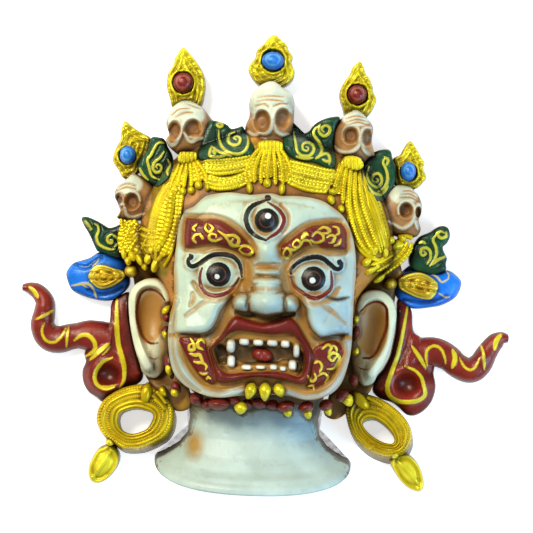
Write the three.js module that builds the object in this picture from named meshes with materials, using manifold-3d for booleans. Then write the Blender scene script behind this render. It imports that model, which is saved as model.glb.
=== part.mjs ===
// Clay mask of a wrathful three-eyed guardian under a crown of five skulls, cast as one hollow piece.
// It lies on its back: X runs across the face, Y up to the crown and Z is the height over the back rim.
import * as THREE from 'three';
import { mergeVertices } from 'three/addons/utils/BufferGeometryUtils.js';
import Module from 'manifold-3d';

const wasm = await Module();
wasm.setup();

// Driving dimensions in millimetres.
const WALL = 7;
const HEAD_DEPTH = 48;
const FACE_DEPTH = 54;
const NOSE_DEPTH = 73;
const BROW_RISE = 5.5;
const LIP_RISE = 5;
const MOUTH_DEPTH = 9;
const EYE_RISE = 4.5;
const EAR_DEPTH = 21;
const EAR_RIM = 3.6;
const NECK_DEPTH = 27;
const NECK_HALF_WIDTH = 40;
const FLANGE_DEPTH = 45;
const FLANGE_HALF_WIDTH = 61;
const FLANGE_EDGE = 2.6;
const FLANGE_HANG = 18;
const NECK_TOP = -78;
const NECK_END = -121;
const LEAF_DEPTH = 17;
const FINIAL_DEPTH = 15;
const JEWEL_RISE = 6;
const SCARF_DEPTH = 11;
const SCARF_CHAMFER = 1.4;
const FOLD_RISE = 3;
const LOTUS_DEPTH = 14;
const RING_DEPTH = 20;
const RING_BAND = 14;
const RING_BORE = [10.5, 7.8];
const PENDANT_DEPTH = 14;
const TUFT_RADIUS = 3.4;
const TOOTH_RISE = 7;
const BEAD_STRING = 1.7;
const DIADEM_HALF_WIDTH = 4.6;

// How far a cutting form runs out past the back plane.
const RUN_OUT = 5;

// Turns a closed geometry into a solid, without the slivers at a pole.
function solid(geometry) {
  geometry.deleteAttribute('normal');
  geometry.deleteAttribute('uv');
  const merged = mergeVertices(geometry, 1e-3);
  const corners = merged.index.array;
  const kept = [];
  for (let i = 0; i < corners.length; i += 3) {
    const [a, b, c] = corners.subarray(i, i + 3);
    if (a !== b && b !== c && c !== a) kept.push(a, b, c);
  }
  const vertProperties = Float32Array.from(merged.attributes.position.array);
  const triVerts = Uint32Array.from(kept);
  return new wasm.Manifold(new wasm.Mesh({ numProp: 3, vertProperties, triVerts }));
}

// Moves every vertex of a geometry by a function of its place.
function reshape(geometry, place) {
  const position = geometry.attributes.position;
  for (let i = 0; i < position.count; i += 1) {
    position.setXYZ(i, ...place(position.getX(i), position.getY(i), position.getZ(i)));
  }
  return solid(geometry);
}

// Closed smooth curve through a few points, as a list of evenly shared points.
function smooth(points, count) {
  const corners = points.map(([x, y, z = 0]) => new THREE.Vector3(x, y, z));
  return new THREE.CatmullRomCurve3(corners, true).getPoints(count).slice(0, count);
}

// Reach of an oval from its middle at an angle, with the oval turned by a number of degrees.
function oval(halfWidth, halfHeight, turn = 0) {
  return (angle) => {
    const a = angle - THREE.MathUtils.degToRad(turn);
    return (halfWidth * halfHeight) / Math.hypot(halfHeight * Math.cos(a), halfWidth * Math.sin(a));
  };
}

// Reach of a free outline from a middle point at an angle, less an even inset.
function reachOf(points, [cx, cy], count, inset = 0) {
  const line = smooth(points, count);
  return (angle) => {
    const [ux, uy] = [Math.cos(angle), Math.sin(angle)];
    let reach = 0;
    for (let i = 0; i < line.length; i += 1) {
      const a = line[i];
      const b = line[(i + 1) % line.length];
      const [ax, ay, ex, ey] = [a.x - cx, a.y - cy, b.x - a.x, b.y - a.y];
      const cross = ux * ey - uy * ex;
      const along = (ax * ey - ay * ex) / cross;
      const share = (ax * uy - ay * ux) / cross;
      if (share >= -1e-9 && share <= 1 + 1e-9) reach = Math.max(reach, along);
    }
    return reach - inset;
  };
}

// Mound over an outline: its profile is a list of [share of the reach, height].
function mound([cx, cy], reach, profile, sides) {
  const rows = profile.map(([share, z]) => new THREE.Vector2(share, z));
  return reshape(new THREE.LatheGeometry(rows, sides), (x, y, z) => {
    const share = Math.hypot(x, z);
    const angle = Math.atan2(-z, x);
    const radius = share * reach(angle);
    return [cx + radius * Math.cos(angle), cy + radius * Math.sin(angle), y];
  });
}

// Rounded profile for a mound: steep sides up to the shoulder, then a dome.
function domed(height, shoulder = 0.6) {
  const rise = height * (1 - shoulder);
  return [[0, 0], [1, 0], [1, height * shoulder], [0.74, height - rise * 0.28], [0, height]];
}

// Flat-topped profile for a mound, with a drafted side.
const plated = (height) => [[0, 0], [1, 0], [0.92, height], [0, height]];

const meanOf = (points, axis) => points.reduce((sum, p) => sum + p[axis], 0) / points.length;
const middleOf = (points) => [meanOf(points, 0), meanOf(points, 1)];

// Slab with a chamfered upper edge over a free outline.
function slab(points, height, chamfer, count = points.length * 2) {
  const shape = new THREE.Shape(smooth(points, count).map((p) => new THREE.Vector2(p.x, p.y)));
  const settings = {
    depth: height - chamfer, bevelEnabled: true, bevelSegments: 1,
    bevelThickness: chamfer, bevelSize: chamfer, bevelOffset: -chamfer,
  };
  const raised = solid(new THREE.ExtrudeGeometry(shape, settings));
  const under = new THREE.BoxGeometry(3 * HEAD_DEPTH, 3 * HEAD_DEPTH, 2 * RUN_OUT);
  return raised.subtract(solid(under.translate(...middleOf(points), -RUN_OUT)));
}

// Ridge along a curve, with half width and half height each a number or a function of the share run.
function ridge(points, halfWidth, halfHeight, steps = 6, sides = 3) {
  const curve = new THREE.CatmullRomCurve3(points.map((p) => new THREE.Vector3(...p)));
  const size = (value, t) => (typeof value === 'function' ? value(t) : value);
  return reshape(new THREE.CylinderGeometry(1, 1, 1, sides, steps), (x, y, z) => {
    const t = THREE.MathUtils.clamp(y + 0.5, 0, 1);
    const middle = curve.getPoint(t);
    const run = curve.getTangent(t);
    const flat = Math.hypot(run.x, run.y);
    const across = (x * size(halfWidth, t)) / flat;
    return [middle.x + across * run.y, middle.y - across * run.x, middle.z + z * size(halfHeight, t)];
  });
}

// Ridge round a closed curve that is listed against the clock.
function hoop(points, halfWidth, halfHeight, steps, sides = 6) {
  const curve = new THREE.CatmullRomCurve3(points.map((p) => new THREE.Vector3(...p)), true);
  return reshape(new THREE.TorusGeometry(1, 0.5, sides, steps), (x, y, z) => {
    const t = (Math.atan2(y, x) / (2 * Math.PI) + 1) % 1;
    const out = ((Math.hypot(x, y) - 1) / 0.5) * halfWidth;
    const middle = curve.getPoint(t);
    const run = curve.getTangent(t);
    const flat = Math.hypot(run.x, run.y);
    const [acrossX, acrossY] = [(out * run.y) / flat, (out * run.x) / flat];
    return [middle.x + acrossX, middle.y - acrossY, middle.z + (z / 0.5) * halfHeight];
  });
}

// Ball or egg with its own three half sizes.
function ball([x, y, z], [rx, ry, rz], sides = 8, rows = 5) {
  const round = new THREE.SphereGeometry(1, sides, rows).rotateX(Math.PI / 2);
  return solid(round.scale(rx, ry, rz).translate(x, y, z));
}

// Half size that swells from a blunt start and tapers to its end.
const tapered = (start, end) => (t) => start + (end - start) * t;

const joined = (forms) => forms.reduce((whole, form) => whole.add(form));

// Head: the dome behind face and crown, and the hollow inside it that follows at the wall's thickness.
const HEAD_MIDDLE = [-2, 5];
const HEAD_OUTLINE = [
  [76, 6], [73, 36], [56, 62], [28, 78], [0, 84], [-30, 79], [-58, 64], [-76, 36], [-78, 6],
  [-61, -20], [-59, -48], [-52, -70], [-36, -84], [-12, -88], [12, -88], [34, -82], [47, -66],
  [54, -45], [57, -18],
];

function head() {
  const reach = reachOf(HEAD_OUTLINE, HEAD_MIDDLE, 57);
  const profile = [
    [0, 0], [1, 0], [1, HEAD_DEPTH * 0.36], [0.95, HEAD_DEPTH * 0.62],
    [0.85, HEAD_DEPTH * 0.86], [0, HEAD_DEPTH],
  ];
  return mound(HEAD_MIDDLE, reach, profile, 22);
}

function headHollow() {
  const reach = reachOf(HEAD_OUTLINE, HEAD_MIDDLE, 57, WALL);
  const top = Math.min(HEAD_DEPTH - WALL, FACE_DEPTH - MOUTH_DEPTH - WALL);
  const profile = [
    [0, -RUN_OUT], [1, -RUN_OUT], [1, top * 0.26], [0.93, top * 0.62], [0.8, top * 0.88], [0, top],
  ];
  return mound(HEAD_MIDDLE, reach, profile, 16);
}

// Face: the smooth white mask that stands over the dome, with cheeks, brows and jaw folds.
const FACE_MIDDLE = [-2, -18];
const FACE_OUTLINE = [
  [53, -2], [51, 18], [40, 34], [22, 41], [0, 38], [-22, 42], [-42, 35], [-54, 18], [-56, -6],
  [-57, -40], [-54, -64], [-42, -77], [-20, -80], [0, -79], [22, -79], [38, -75], [47, -63], [51, -40],
];
const BROWS = [
  [[-50, 16.5, 50], [-35, 18, 54], [-22, 13.5, 57], [-9.5, 6, 59]],
  [[47, 17.5, 50], [32, 18.5, 54], [19, 14, 57], [8.5, 4.5, 59]],
];
const JAW_FOLDS = [
  [[-57, -24, 40], [-56, -46, 42], [-50, -65, 43], [-38, -76, 44], [-21, -78, 47]],
  [[52, -24, 40], [51, -46, 42], [46, -63, 43], [34, -75.5, 44], [18, -78, 47]],
];

function face() {
  const reach = reachOf(FACE_OUTLINE, FACE_MIDDLE, 54);
  const profile = [
    [0, HEAD_DEPTH / 3], [1, HEAD_DEPTH / 3], [1, HEAD_DEPTH * 0.86],
    [0.95, FACE_DEPTH * 0.92], [0.8, FACE_DEPTH * 0.985], [0, FACE_DEPTH],
  ];
  const forms = [mound(FACE_MIDDLE, reach, profile, 22)];
  for (const line of BROWS) forms.push(ridge(line, tapered(8.5, 5.5), BROW_RISE, 5, 4));
  for (const line of JAW_FOLDS) forms.push(ridge(line, 3.4, 6));
  const cheek = FACE_DEPTH - 6;
  forms.push(ball([-39, -31, cheek], [16, 14, 10.5], 9), ball([35, -30, cheek], [16, 14, 10.5], 9));
  return joined(forms);
}

// Nose: the frown between the brows, two folds over the bridge, the tip and the flared wings.
function nose() {
  const bridge = FACE_DEPTH + 2;
  return joined([
    ball([-1, 9, bridge - 2], [10, 9, 7], 7, 4),
    ridge([[-1, 6, bridge - 3], [0, -8, bridge], [0, -22, NOSE_DEPTH - 14]], tapered(8, 10), 8, 2, 4),
    ridge([[-8, -5, bridge], [0, -6, bridge + 6], [8.5, -5, bridge]], 3, 3.4, 4),
    ridge([[-10, -12.5, bridge], [0, -13.5, bridge + 9], [10, -12.5, bridge]], 3.4, 3.6, 4),
    ball([0, -22, NOSE_DEPTH - 10], [11.5, 8.5, 10], 8, 4),
    ball([-15.5, -24.5, bridge + 2], [6, 6, 8], 7, 4),
    ball([15, -24.5, bridge + 2], [6, 6, 8], 7, 4),
  ]);
}

// Eyes: three bulging balls, each inside a raised lid.
const EYES = [
  { middle: [-28.7, -7], half: [14, 10.5], lid: [16.5, 12] },
  { middle: [27.3, -7.2], half: [14, 10.5], lid: [16.5, 12] },
  { middle: [-1.9, 26], half: [8.2, 10], lid: [10, 14] },
];

function eyes() {
  const forms = [];
  for (const { middle: [x, y], half: [rx, ry], lid: [lx, ly] } of EYES) {
    forms.push(ball([x, y, FACE_DEPTH - 4], [rx, ry, EYE_RISE + 4], 9));
    const rim = [];
    for (let i = 0; i < 8; i += 1) {
      const angle = (i * Math.PI) / 4;
      rim.push([x + lx * Math.cos(angle), y + ly * Math.sin(angle), FACE_DEPTH]);
    }
    forms.push(hoop(rim, 1.8, 2, 10, 3));
  }
  return joined(forms);
}

// Mouth: thick lips round an open cavity with a tongue and two rows of teeth, the corner ones fangs.
const LIP_LINE = [
  [26.5, -54, 55], [22, -44, 56], [14.5, -35.5, 58], [6, -36.5, 59.5], [-2, -38, 60],
  [-9.5, -36.5, 59.5], [-17, -35.5, 58], [-25, -42, 56], [-31.5, -53, 55], [-29, -62, 55],
  [-24, -68, 55.5], [-14, -67, 57], [-1, -65.5, 58], [10, -66, 57], [20, -68, 55.5], [25.5, -64, 55],
];
const CAVITY_OUTLINE = [
  [24, -54], [19, -44], [12, -41], [-2, -42], [-15, -41], [-23, -46], [-28, -53],
  [-24, -63], [-13, -63], [0, -62], [12, -63], [22, -63],
];
const TEETH = [
  [-20.1, -49.6, 2.6, 4.6], [-11.9, -47.6, 3.6, 4], [-3.2, -47.3, 3.6, 4], [4.5, -47.1, 3.6, 4],
  [12.3, -47.1, 3.4, 4], [19, -51, 2.8, 5], [-18.9, -59.1, 2.6, 4.4], [-9.5, -61.4, 4, 3],
  [-0.2, -60.7, 4, 3], [9.5, -60.9, 4, 3], [17.2, -59.4, 2.8, 4.2],
];
const TONGUE = [-0.3, -54.5];

function lips() {
  return hoop(LIP_LINE, 5, LIP_RISE, 24, 5);
}

function mouthHollow() {
  const profile = [
    [0, FACE_DEPTH - MOUTH_DEPTH], [0.96, FACE_DEPTH - MOUTH_DEPTH], [1, NOSE_DEPTH], [0, NOSE_DEPTH],
  ];
  return mound([-2, -53], reachOf(CAVITY_OUTLINE, [-2, -53], 36), profile, 18);
}

function teethAndTongue() {
  const floor = FACE_DEPTH - MOUTH_DEPTH;
  const forms = [ball([...TONGUE, floor], [7, 4.5, 6], 7, 4)];
  for (const [x, y, rx, ry] of TEETH) {
    const profile = [[0, floor - 2], [1, floor - 2], [0.75, floor + TOOTH_RISE], [0, floor + TOOTH_RISE]];
    forms.push(mound([x, y], oval(rx, ry), profile, 5));
  }
  return joined(forms);
}

// Ears: a flat shell with a hollow and a rolled rim, long in the lobe.
const EARS = [
  {
    middle: [-70, -38],
    outline: [
      [-56, -36], [-58, -20], [-66, -12], [-76, -12], [-83, -20], [-84, -34], [-80, -54], [-73, -70],
      [-62, -66],
    ],
    rim: [
      [-60.5, -22, 20], [-66, -14.5, 22], [-73, -13.5, 22], [-79.5, -18, 22], [-81.5, -30, 22],
      [-79.5, -47, 21], [-74, -61, 19],
    ],
    shell: [-69.5, -34], shellHalf: [6.8, 14.5], turn: 6,
  },
  {
    middle: [65, -40],
    outline: [
      [52, -40], [55, -21], [62, -14], [71, -14], [79, -22], [80, -34], [76, -52], [68, -71], [56, -66],
    ],
    rim: [
      [57, -24, 20], [61.5, -17.5, 22], [69, -16, 22], [75, -20.5, 22], [77.5, -31, 22],
      [75.5, -46, 21], [69, -62, 19],
    ],
    shell: [64, -36], shellHalf: [7.2, 15.5], turn: -8,
  },
];

function ears() {
  const forms = [];
  for (const { middle, outline, rim } of EARS) {
    forms.push(mound(middle, reachOf(outline, middle, 27), plated(EAR_DEPTH), 14));
    forms.push(ridge(rim, EAR_RIM, EAR_RIM + 1.5, 7, 4));
  }
  return joined(forms);
}

function earHollows() {
  const floor = EAR_DEPTH - WALL;
  const profile = [[0, floor], [0.7, floor], [1, EAR_DEPTH + WALL], [0, EAR_DEPTH + WALL]];
  return joined(EARS.map(({ shell, shellHalf: [rx, ry], turn }) => (
    mound(shell, oval(rx, ry, turn), profile, 10)
  )));
}

// Neck: half a drum that is waisted below the jaw and flares into a raised rim at its foot.
// Each row is [share of the way down, half width, depth, how far the front hangs below the sides].
const NECK_ROWS = [
  [0, NECK_HALF_WIDTH + 3, NECK_DEPTH, 0], [0.35, NECK_HALF_WIDTH, NECK_DEPTH, 1],
  [0.6, NECK_HALF_WIDTH + 1, NECK_DEPTH + 1, 3], [0.76, NECK_HALF_WIDTH + 6, NECK_DEPTH + 5, 7],
  [0.88, FLANGE_HALF_WIDTH - 8, FLANGE_DEPTH - 7, 12],
  [
    1 - FLANGE_EDGE / (NECK_TOP - NECK_END), FLANGE_HALF_WIDTH - 2,
    FLANGE_DEPTH - 1, FLANGE_HANG - FLANGE_EDGE,
  ],
  [1, FLANGE_HALF_WIDTH, FLANGE_DEPTH, FLANGE_HANG],
];
const NECK_MIDDLE = -5;

function drum(rows, thickness, end) {
  const steps = rows.length - 1;
  return reshape(new THREE.CylinderGeometry(1, 1, 1, 16, steps), (x, y, z) => {
    const row = rows[Math.round((0.5 - y) * steps)];
    const [share, halfWidth, depth, hang] = row;
    const along = NECK_TOP + (end - NECK_TOP) * share;
    const radius = Math.hypot(x, z);
    const up = Math.max(z, 0);
    const down = Math.min(z, 0);
    return [
      NECK_MIDDLE + x * (halfWidth - thickness), along - hang * up * radius,
      up * (depth - thickness) + down * thickness,
    ];
  });
}

const neck = () => drum(NECK_ROWS, 0, NECK_END);

function neckHollow() {
  return drum(NECK_ROWS.slice(0, -2), WALL, NECK_END);
}

// Crown skulls: a round cranium over cheeks and a short jaw, with sunken sockets and a nose.
// Each has its middle, its half width, its depth and the side it turns to.
const SKULLS = [
  { at: [-85.5, 39], half: 10.5, depth: 27, turn: -0.35 },
  { at: [-50.5, 84], half: 14, depth: 34, turn: -0.15 },
  { at: [-1.5, 95], half: 14.5, depth: 41, turn: 0 },
  { at: [49, 82], half: 13.5, depth: 34, turn: 0.2 },
  { at: [82.5, 38], half: 11.5, depth: 27, turn: 0.5 },
];

function skulls() {
  const forms = [];
  for (const { at: [x, y], half, depth, turn } of SKULLS) {
    const crown = [x, y + half * 0.18];
    const cranium = mound(crown, oval(half, half * 0.92), domed(depth, 0.6), 10);
    const chin = [x + turn * half * 0.4, y - half * 0.62];
    const jaw = mound(chin, oval(half * 0.8, half * 0.5), plated(depth - 2), 8);
    let skull = cranium.add(jaw);
    for (const side of [-1, 1]) {
      const socket = [x + half * (side * 0.42 + turn * 0.7), y - half * 0.2, depth];
      skull = skull.subtract(ball(socket, [half * 0.3, half * 0.34, half * 0.45], 5, 3));
    }
    const bridge = [x + turn * half * 0.8, y - half * 0.66, depth - 2];
    forms.push(skull, ball(bridge, [half * 0.16, half * 0.22, 3.4], 5, 3));
  }
  return joined(forms);
}

// Flame finials: a leaning flat flame with a jewel in a round seat.
// Each has its foot, its tip, its greatest half width, the jewel's middle and the jewel's half width.
const FINIALS = [
  { foot: [-86, 49], tip: [-90.5, 85], half: 11.5, jewel: [-88, 64.5], gem: 5.8, bow: 4 },
  { foot: [-53, 93], tip: [-57, 131.5], half: 11.8, jewel: [-54.8, 109.2], gem: 6.4, bow: 1.5 },
  { foot: [-1.8, 106], tip: [-0.6, 141], half: 14, jewel: [-1.1, 123.7], gem: 7, bow: 0 },
  { foot: [51.5, 91], tip: [52.3, 127], half: 11.3, jewel: [50.1, 105.6], gem: 6.2, bow: 0.5 },
  { foot: [84, 46], tip: [85.4, 79.5], half: 10.8, jewel: [84.2, 60.6], gem: 5.6, bow: 1 },
];

function flameOutline({ foot, tip, half, bow }) {
  const [dx, dy] = [tip[0] - foot[0], tip[1] - foot[1]];
  const length = Math.hypot(dx, dy);
  const points = [];
  const widths = [[0, 0.72], [0.2, 0.92], [0.38, 1], [0.56, 0.86], [0.74, 0.62], [0.9, 0.28], [1, 0]];
  const place = (share, side) => [
    foot[0] + dx * share + (side * dy) / length, foot[1] + dy * share - (side * dx) / length,
  ];
  const lean = (share) => bow * Math.sin(Math.PI * share);
  for (const [share, width] of widths) points.push(place(share, width * half + lean(share)));
  for (const [share, width] of widths.slice(0, -1).reverse()) {
    points.push(place(share, -width * half + lean(share)));
  }
  return points;
}

function finials() {
  const forms = [];
  for (const finial of FINIALS) {
    const flame = reachOf(flameOutline(finial), finial.jewel, 52);
    forms.push(mound(finial.jewel, flame, plated(FINIAL_DEPTH), 16));
    const seat = [
      [0, FINIAL_DEPTH / 2], [1.4, FINIAL_DEPTH / 2], [1.3, FINIAL_DEPTH + JEWEL_RISE * 0.4],
      [0.7, FINIAL_DEPTH + JEWEL_RISE], [0, FINIAL_DEPTH + JEWEL_RISE],
    ];
    forms.push(mound(finial.jewel, oval(finial.gem, finial.gem), seat, 7));
  }
  return joined(forms);
}

// Leaves between the skulls: scalloped panels with one rolled scroll on each.
const LEAVES = [
  {
    outline: [[-115.5, 24], [-104, 20.5], [-92, 21], [-88, 10], [-89, 0], [-105, 4], [-110, 13.5]],
    scroll: [[-108, 19, 0], [-101, 15, 0], [-101, 8, 0], [-94, 6, 0], [-92, 12, 0]], depth: 0.85,
  },
  {
    outline: [[-74, 76], [-64, 73], [-59, 60], [-64, 46], [-76, 47], [-84, 60]],
    scroll: [[-68, 72, 0], [-74, 62, 0], [-68, 52, 0], [-63, 58, 0], [-67, 62, 0]], depth: 1.25,
  },
  {
    outline: [[-37, 87], [-26.5, 84], [-16.5, 83.5], [-9, 70], [-25, 58], [-44, 60]],
    scroll: [[-30, 84, 0], [-31, 73, 0], [-22, 67, 0], [-15, 73, 0], [-20, 78, 0]], depth: 1.6,
  },
  {
    outline: [[12, 83], [21, 79], [30, 88.5], [37.5, 90], [39, 62], [19, 58], [6, 68]],
    scroll: [[32, 86, 0], [26, 79, 0], [30, 70, 0], [20, 66, 0], [15, 73, 0], [21, 75, 0]], depth: 1.6,
  },
  {
    outline: [[58, 70.5], [72, 74], [77, 56], [69, 41], [56, 48]],
    scroll: [[70, 69, 0], [62, 64, 0], [62, 52, 0], [69, 48, 0], [71, 57, 0], [66, 58, 0]], depth: 1.25,
  },
  {
    outline: [[90, 19], [104, 26], [111, 26], [109, 16], [112.5, 7], [100, 1], [86, 3]],
    scroll: [[107, 22, 0], [102, 14, 0], [105, 6, 0], [96, 6, 0], [95, 12, 0]], depth: 0.85,
  },
];

function leaves() {
  const forms = [];
  for (const { outline, scroll, depth } of LEAVES) {
    const top = LEAF_DEPTH * depth;
    forms.push(mound(middleOf(outline), reachOf(outline, middleOf(outline), 40), plated(top), 11));
    forms.push(ridge(scroll.map(([x, y]) => [x, y, top]), tapered(2, 2.8), 3, 4));
  }
  return joined(forms);
}

// Diadem and its hangings: a band and a festoon on each side of the brow, and a tassel under each skull.
const BANDS = [
  [[-52, 60.5, 34], [-36, 60, 40], [-22, 62, 42], [-8, 66, 43]],
  [[6, 65, 43], [20, 61, 42], [34, 57, 39], [48, 57.5, 34]],
  [[-42, 52, 39], [-22, 50, 45], [-10, 58, 45]],
  [[8, 58, 45], [18, 50, 45], [42, 50, 38]],
  [[-57, 55, 33], [-69, 38, 31], [-82, 24, 22]],
  [[56, 52, 33], [67, 36, 31], [80, 22, 22]],
];
// Each tassel has its knot, the ends of its outer strings, and its count of strings.
const TASSELS = [
  { knot: [-87, 22, 26], ends: [[-86, 2, 22], [-66, 2, 34]], strings: 3 },
  { knot: [-50, 65, 34], ends: [[-56, 40, 37], [-38, 44, 44]], strings: 3 },
  { knot: [-1, 70, 44], ends: [[-10, 50, 46], [9, 49, 46]], strings: 3 },
  { knot: [48, 62, 34], ends: [[42, 38, 43], [66, 10, 32]], strings: 3 },
  { knot: [78, 22, 26], ends: [[60, -2, 32], [73, -2, 26]], strings: 3 },
];

function diadem() {
  const forms = BANDS.map((line, i) => ridge(line, DIADEM_HALF_WIDTH * (i < 2 ? 1 : 0.75), 5, 4));
  for (const { knot, ends: [first, last], strings } of TASSELS) {
    forms.push(ball(knot, [6.5, 4, 6], 5, 4));
    for (let i = 0; i < strings; i += 1) {
      const share = i / (strings - 1);
      const end = first.map((value, axis) => value + (last[axis] - value) * share);
      const middle = knot.map((value, axis) => (value + end[axis]) / 2 + (axis === 2 ? 1.5 : 0));
      forms.push(ridge([knot, middle, end], BEAD_STRING, BEAD_STRING * 2.2, 2));
    }
  }
  return joined(forms);
}

// Scarves: flat ribbons that flutter out from behind the ears, with a rolled fold down their middle.
const SCARVES = [
  {
    outline: [
      [-151.5, -19.5], [-144, -17], [-134, -23.5], [-131, -32], [-129, -41.5], [-116, -38], [-104, -38.5],
      [-97, -39], [-97, -24], [-84, -14], [-80, -45], [-73, -72], [-90, -90], [-108, -83.5], [-113, -70],
      [-113, -59], [-119, -56.5], [-133, -61], [-144, -56], [-146, -45], [-141.5, -31], [-146, -23.5],
    ],
    folds: [
      [[-148, -20, 5], [-137, -26, 9], [-138, -40, 10], [-134, -50, 10], [-115, -48, 11], [-98, -52, 11]],
      [[-90, -20, 12], [-89, -42, 13], [-85, -58, 14], [-84, -78, 13]],
    ],
  },
  {
    outline: [
      [80, -16], [91, -26], [92.5, -39], [103, -41.5], [113, -41.5], [125, -53.5], [133, -46], [141, -36],
      [148, -35], [151.5, -40.5], [144, -51], [138, -62], [126, -69.7], [115, -62], [105, -61], [107, -73],
      [101, -86.5], [91, -92], [70, -80], [68, -72], [78, -53], [80, -36],
    ],
    folds: [
      [[149, -39, 5], [138, -50, 9], [126, -61, 10], [112, -50, 10], [97, -51, 11], [88, -60, 11]],
      [[86, -24, 12], [85, -40, 13], [78, -60, 14], [73, -76, 13]],
    ],
  },
];

function scarves() {
  const forms = [];
  for (const { outline, folds } of SCARVES) {
    forms.push(slab(outline, SCARF_DEPTH, SCARF_CHAMFER, 30));
    for (const line of folds) forms.push(ridge(line, 4, FOLD_RISE, 6));
  }
  return joined(forms);
}

// Lotus flowers beside the ears, each with a gold bud and a stud where it meets the tassel.
const LOTUSES = [
  {
    middle: [-104, -11],
    outline: [
      [-125, -10], [-119, -2.5], [-109, 1], [-102, 4.5], [-90, 1], [-85, -13], [-90, -21.5], [-101, -26.5],
      [-118, -22],
    ],
    bud: [-102, -11], stud: [-83, -7.5],
  },
  {
    middle: [101, -10],
    outline: [
      [81, -3], [94, 5], [104, 1.5], [114, -0.5], [121, -7], [117, -17], [104, -23], [92, -25.5], [78, -14],
    ],
    bud: [96, -10.5], stud: [76, -8.5],
  },
];

function lotuses() {
  const forms = [];
  for (const { middle, outline, bud, stud } of LOTUSES) {
    forms.push(mound(middle, reachOf(outline, middle, 27), domed(LOTUS_DEPTH, 0.62), 12));
    forms.push(ball([...bud, LOTUS_DEPTH - 1], [12, 6.5, 5], 7, 4));
    forms.push(mound(stud, oval(4.6, 4.6), plated(LOTUS_DEPTH + 9), 6));
  }
  return joined(forms);
}

// Ring earrings: a ribbed band round an oval bore, whose sides lean out below, with a leaf pendant.
const RINGS = [
  {
    middle: [-77.8, -96], turn: -6, boreMiddle: [-77.6, -99], boreTurn: -4, lean: [1.2, -4.5],
    pendant: [
      [-92, -112], [-88.5, -123], [-92, -133], [-101, -140], [-107, -137], [-108, -127], [-101, -115],
    ],
  },
  {
    middle: [71.5, -97], turn: -24, boreMiddle: [72, -99.5], boreTurn: -35, lean: [-3.5, -5],
    pendant: [[82, -108], [81, -124], [88, -134], [98, -139.5], [102.5, -134], [98.5, -120], [91, -110]],
  },
];

function rings() {
  const forms = [];
  const profile = [
    [0, 0], [1, 0], [1, RING_DEPTH * 0.45], [0.78, RING_DEPTH * 0.92],
    [0.3, RING_DEPTH], [0, RING_DEPTH * 0.5], [0, 0],
  ];
  const rows = profile.map(([share, z]) => new THREE.Vector2(1 + share, z));
  for (const { middle, turn, boreMiddle, boreTurn, lean, pendant } of RINGS) {
    const outer = oval(RING_BORE[0] + RING_BAND, RING_BORE[1] + RING_BAND * 0.92, turn);
    const inner = oval(...RING_BORE, boreTurn);
    forms.push(reshape(new THREE.LatheGeometry(rows, 16), (x, y, z) => {
      const share = Math.hypot(x, z) - 1;
      const angle = Math.atan2(-z, x);
      const low = share * Math.max(0, 1 - y / (RING_DEPTH * 0.86));
      const edge = [
        middle[0] + outer(angle) * Math.cos(angle) + lean[0] * low,
        middle[1] + outer(angle) * Math.sin(angle) + lean[1] * low,
      ];
      const hole = [
        boreMiddle[0] + inner(angle) * Math.cos(angle),
        boreMiddle[1] + inner(angle) * Math.sin(angle),
      ];
      return [hole[0] + (edge[0] - hole[0]) * share, hole[1] + (edge[1] - hole[1]) * share, y];
    }));
    const keeled = [
      [0, 0], [1, 0], [1, PENDANT_DEPTH * 0.55], [0.3, PENDANT_DEPTH * 0.9], [0, PENDANT_DEPTH],
    ];
    const heart = middleOf(pendant);
    forms.push(mound(heart, reachOf(pendant, heart, 28), keeled, 11));
  }
  return joined(forms);
}

// Tufts of beard: drops under the chin, along the jaw over the neck and beside the cheeks.
// Each has its place, its height over the back and its share of the tuft's radius.
const TUFTS = [
  [-6.8, -74, 58, 1.1], [1.3, -73.5, 59, 1.1], [9, -73, 58, 1.1], [-26, -85, 41, 1.4],
  [-12.5, -84.5, 43, 1.1], [0.7, -83, 44, 1.1], [13.3, -83.5, 43, 1.1], [27.3, -85.5, 40, 1.2],
  [-61.5, -32, 32, 1], [-61.5, -47, 32, 1.1], [-54, -67, 30, 1], [55.9, -32, 32, 1],
  [55.9, -48, 32, 1.1], [50, -65, 32, 1],
  [NECK_MIDDLE - NECK_HALF_WIDTH + 5, -83, 36, 1.2], [NECK_MIDDLE + NECK_HALF_WIDTH + 3, -82.5, 36, 1.1],
];

function tufts() {
  const forms = TUFTS.map(([x, y, z, share]) => {
    const radius = TUFT_RADIUS * share;
    return mound([x, y], oval(radius, radius * 1.5), [[0, 0], [1, 0], [1, z - radius], [0, z]], 4);
  });
  return joined(forms);
}

// The whole cast: the outer forms, less the mouth, ears and back, cut flat where it lies.
function cast() {
  const body = joined([head(), face(), nose(), eyes(), lips()]).subtract(mouthHollow());
  const outer = joined([
    body, teethAndTongue(), ears().subtract(earHollows()), neck(), skulls(), finials(), leaves(), diadem(),
    scarves(), lotuses(), rings(), tufts(),
  ]);
  return outer.subtract(headHollow()).subtract(neckHollow());
}

function geometryOf(form) {
  const { vertProperties, triVerts } = form.getMesh();
  const geometry = new THREE.BufferGeometry();
  geometry.setAttribute('position', new THREE.BufferAttribute(Float32Array.from(vertProperties), 3));
  geometry.setIndex(new THREE.BufferAttribute(Uint32Array.from(triVerts), 1));
  geometry.computeVertexNormals();
  return geometry;
}

const paintedClay = new THREE.MeshStandardMaterial({ color: '#d9b44a', roughness: 0.45, metalness: 0.1 });
const mask = new THREE.Mesh(geometryOf(cast()), paintedClay);
mask.name = 'mask';

const group = new THREE.Group();
group.add(mask);

export default group;
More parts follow.
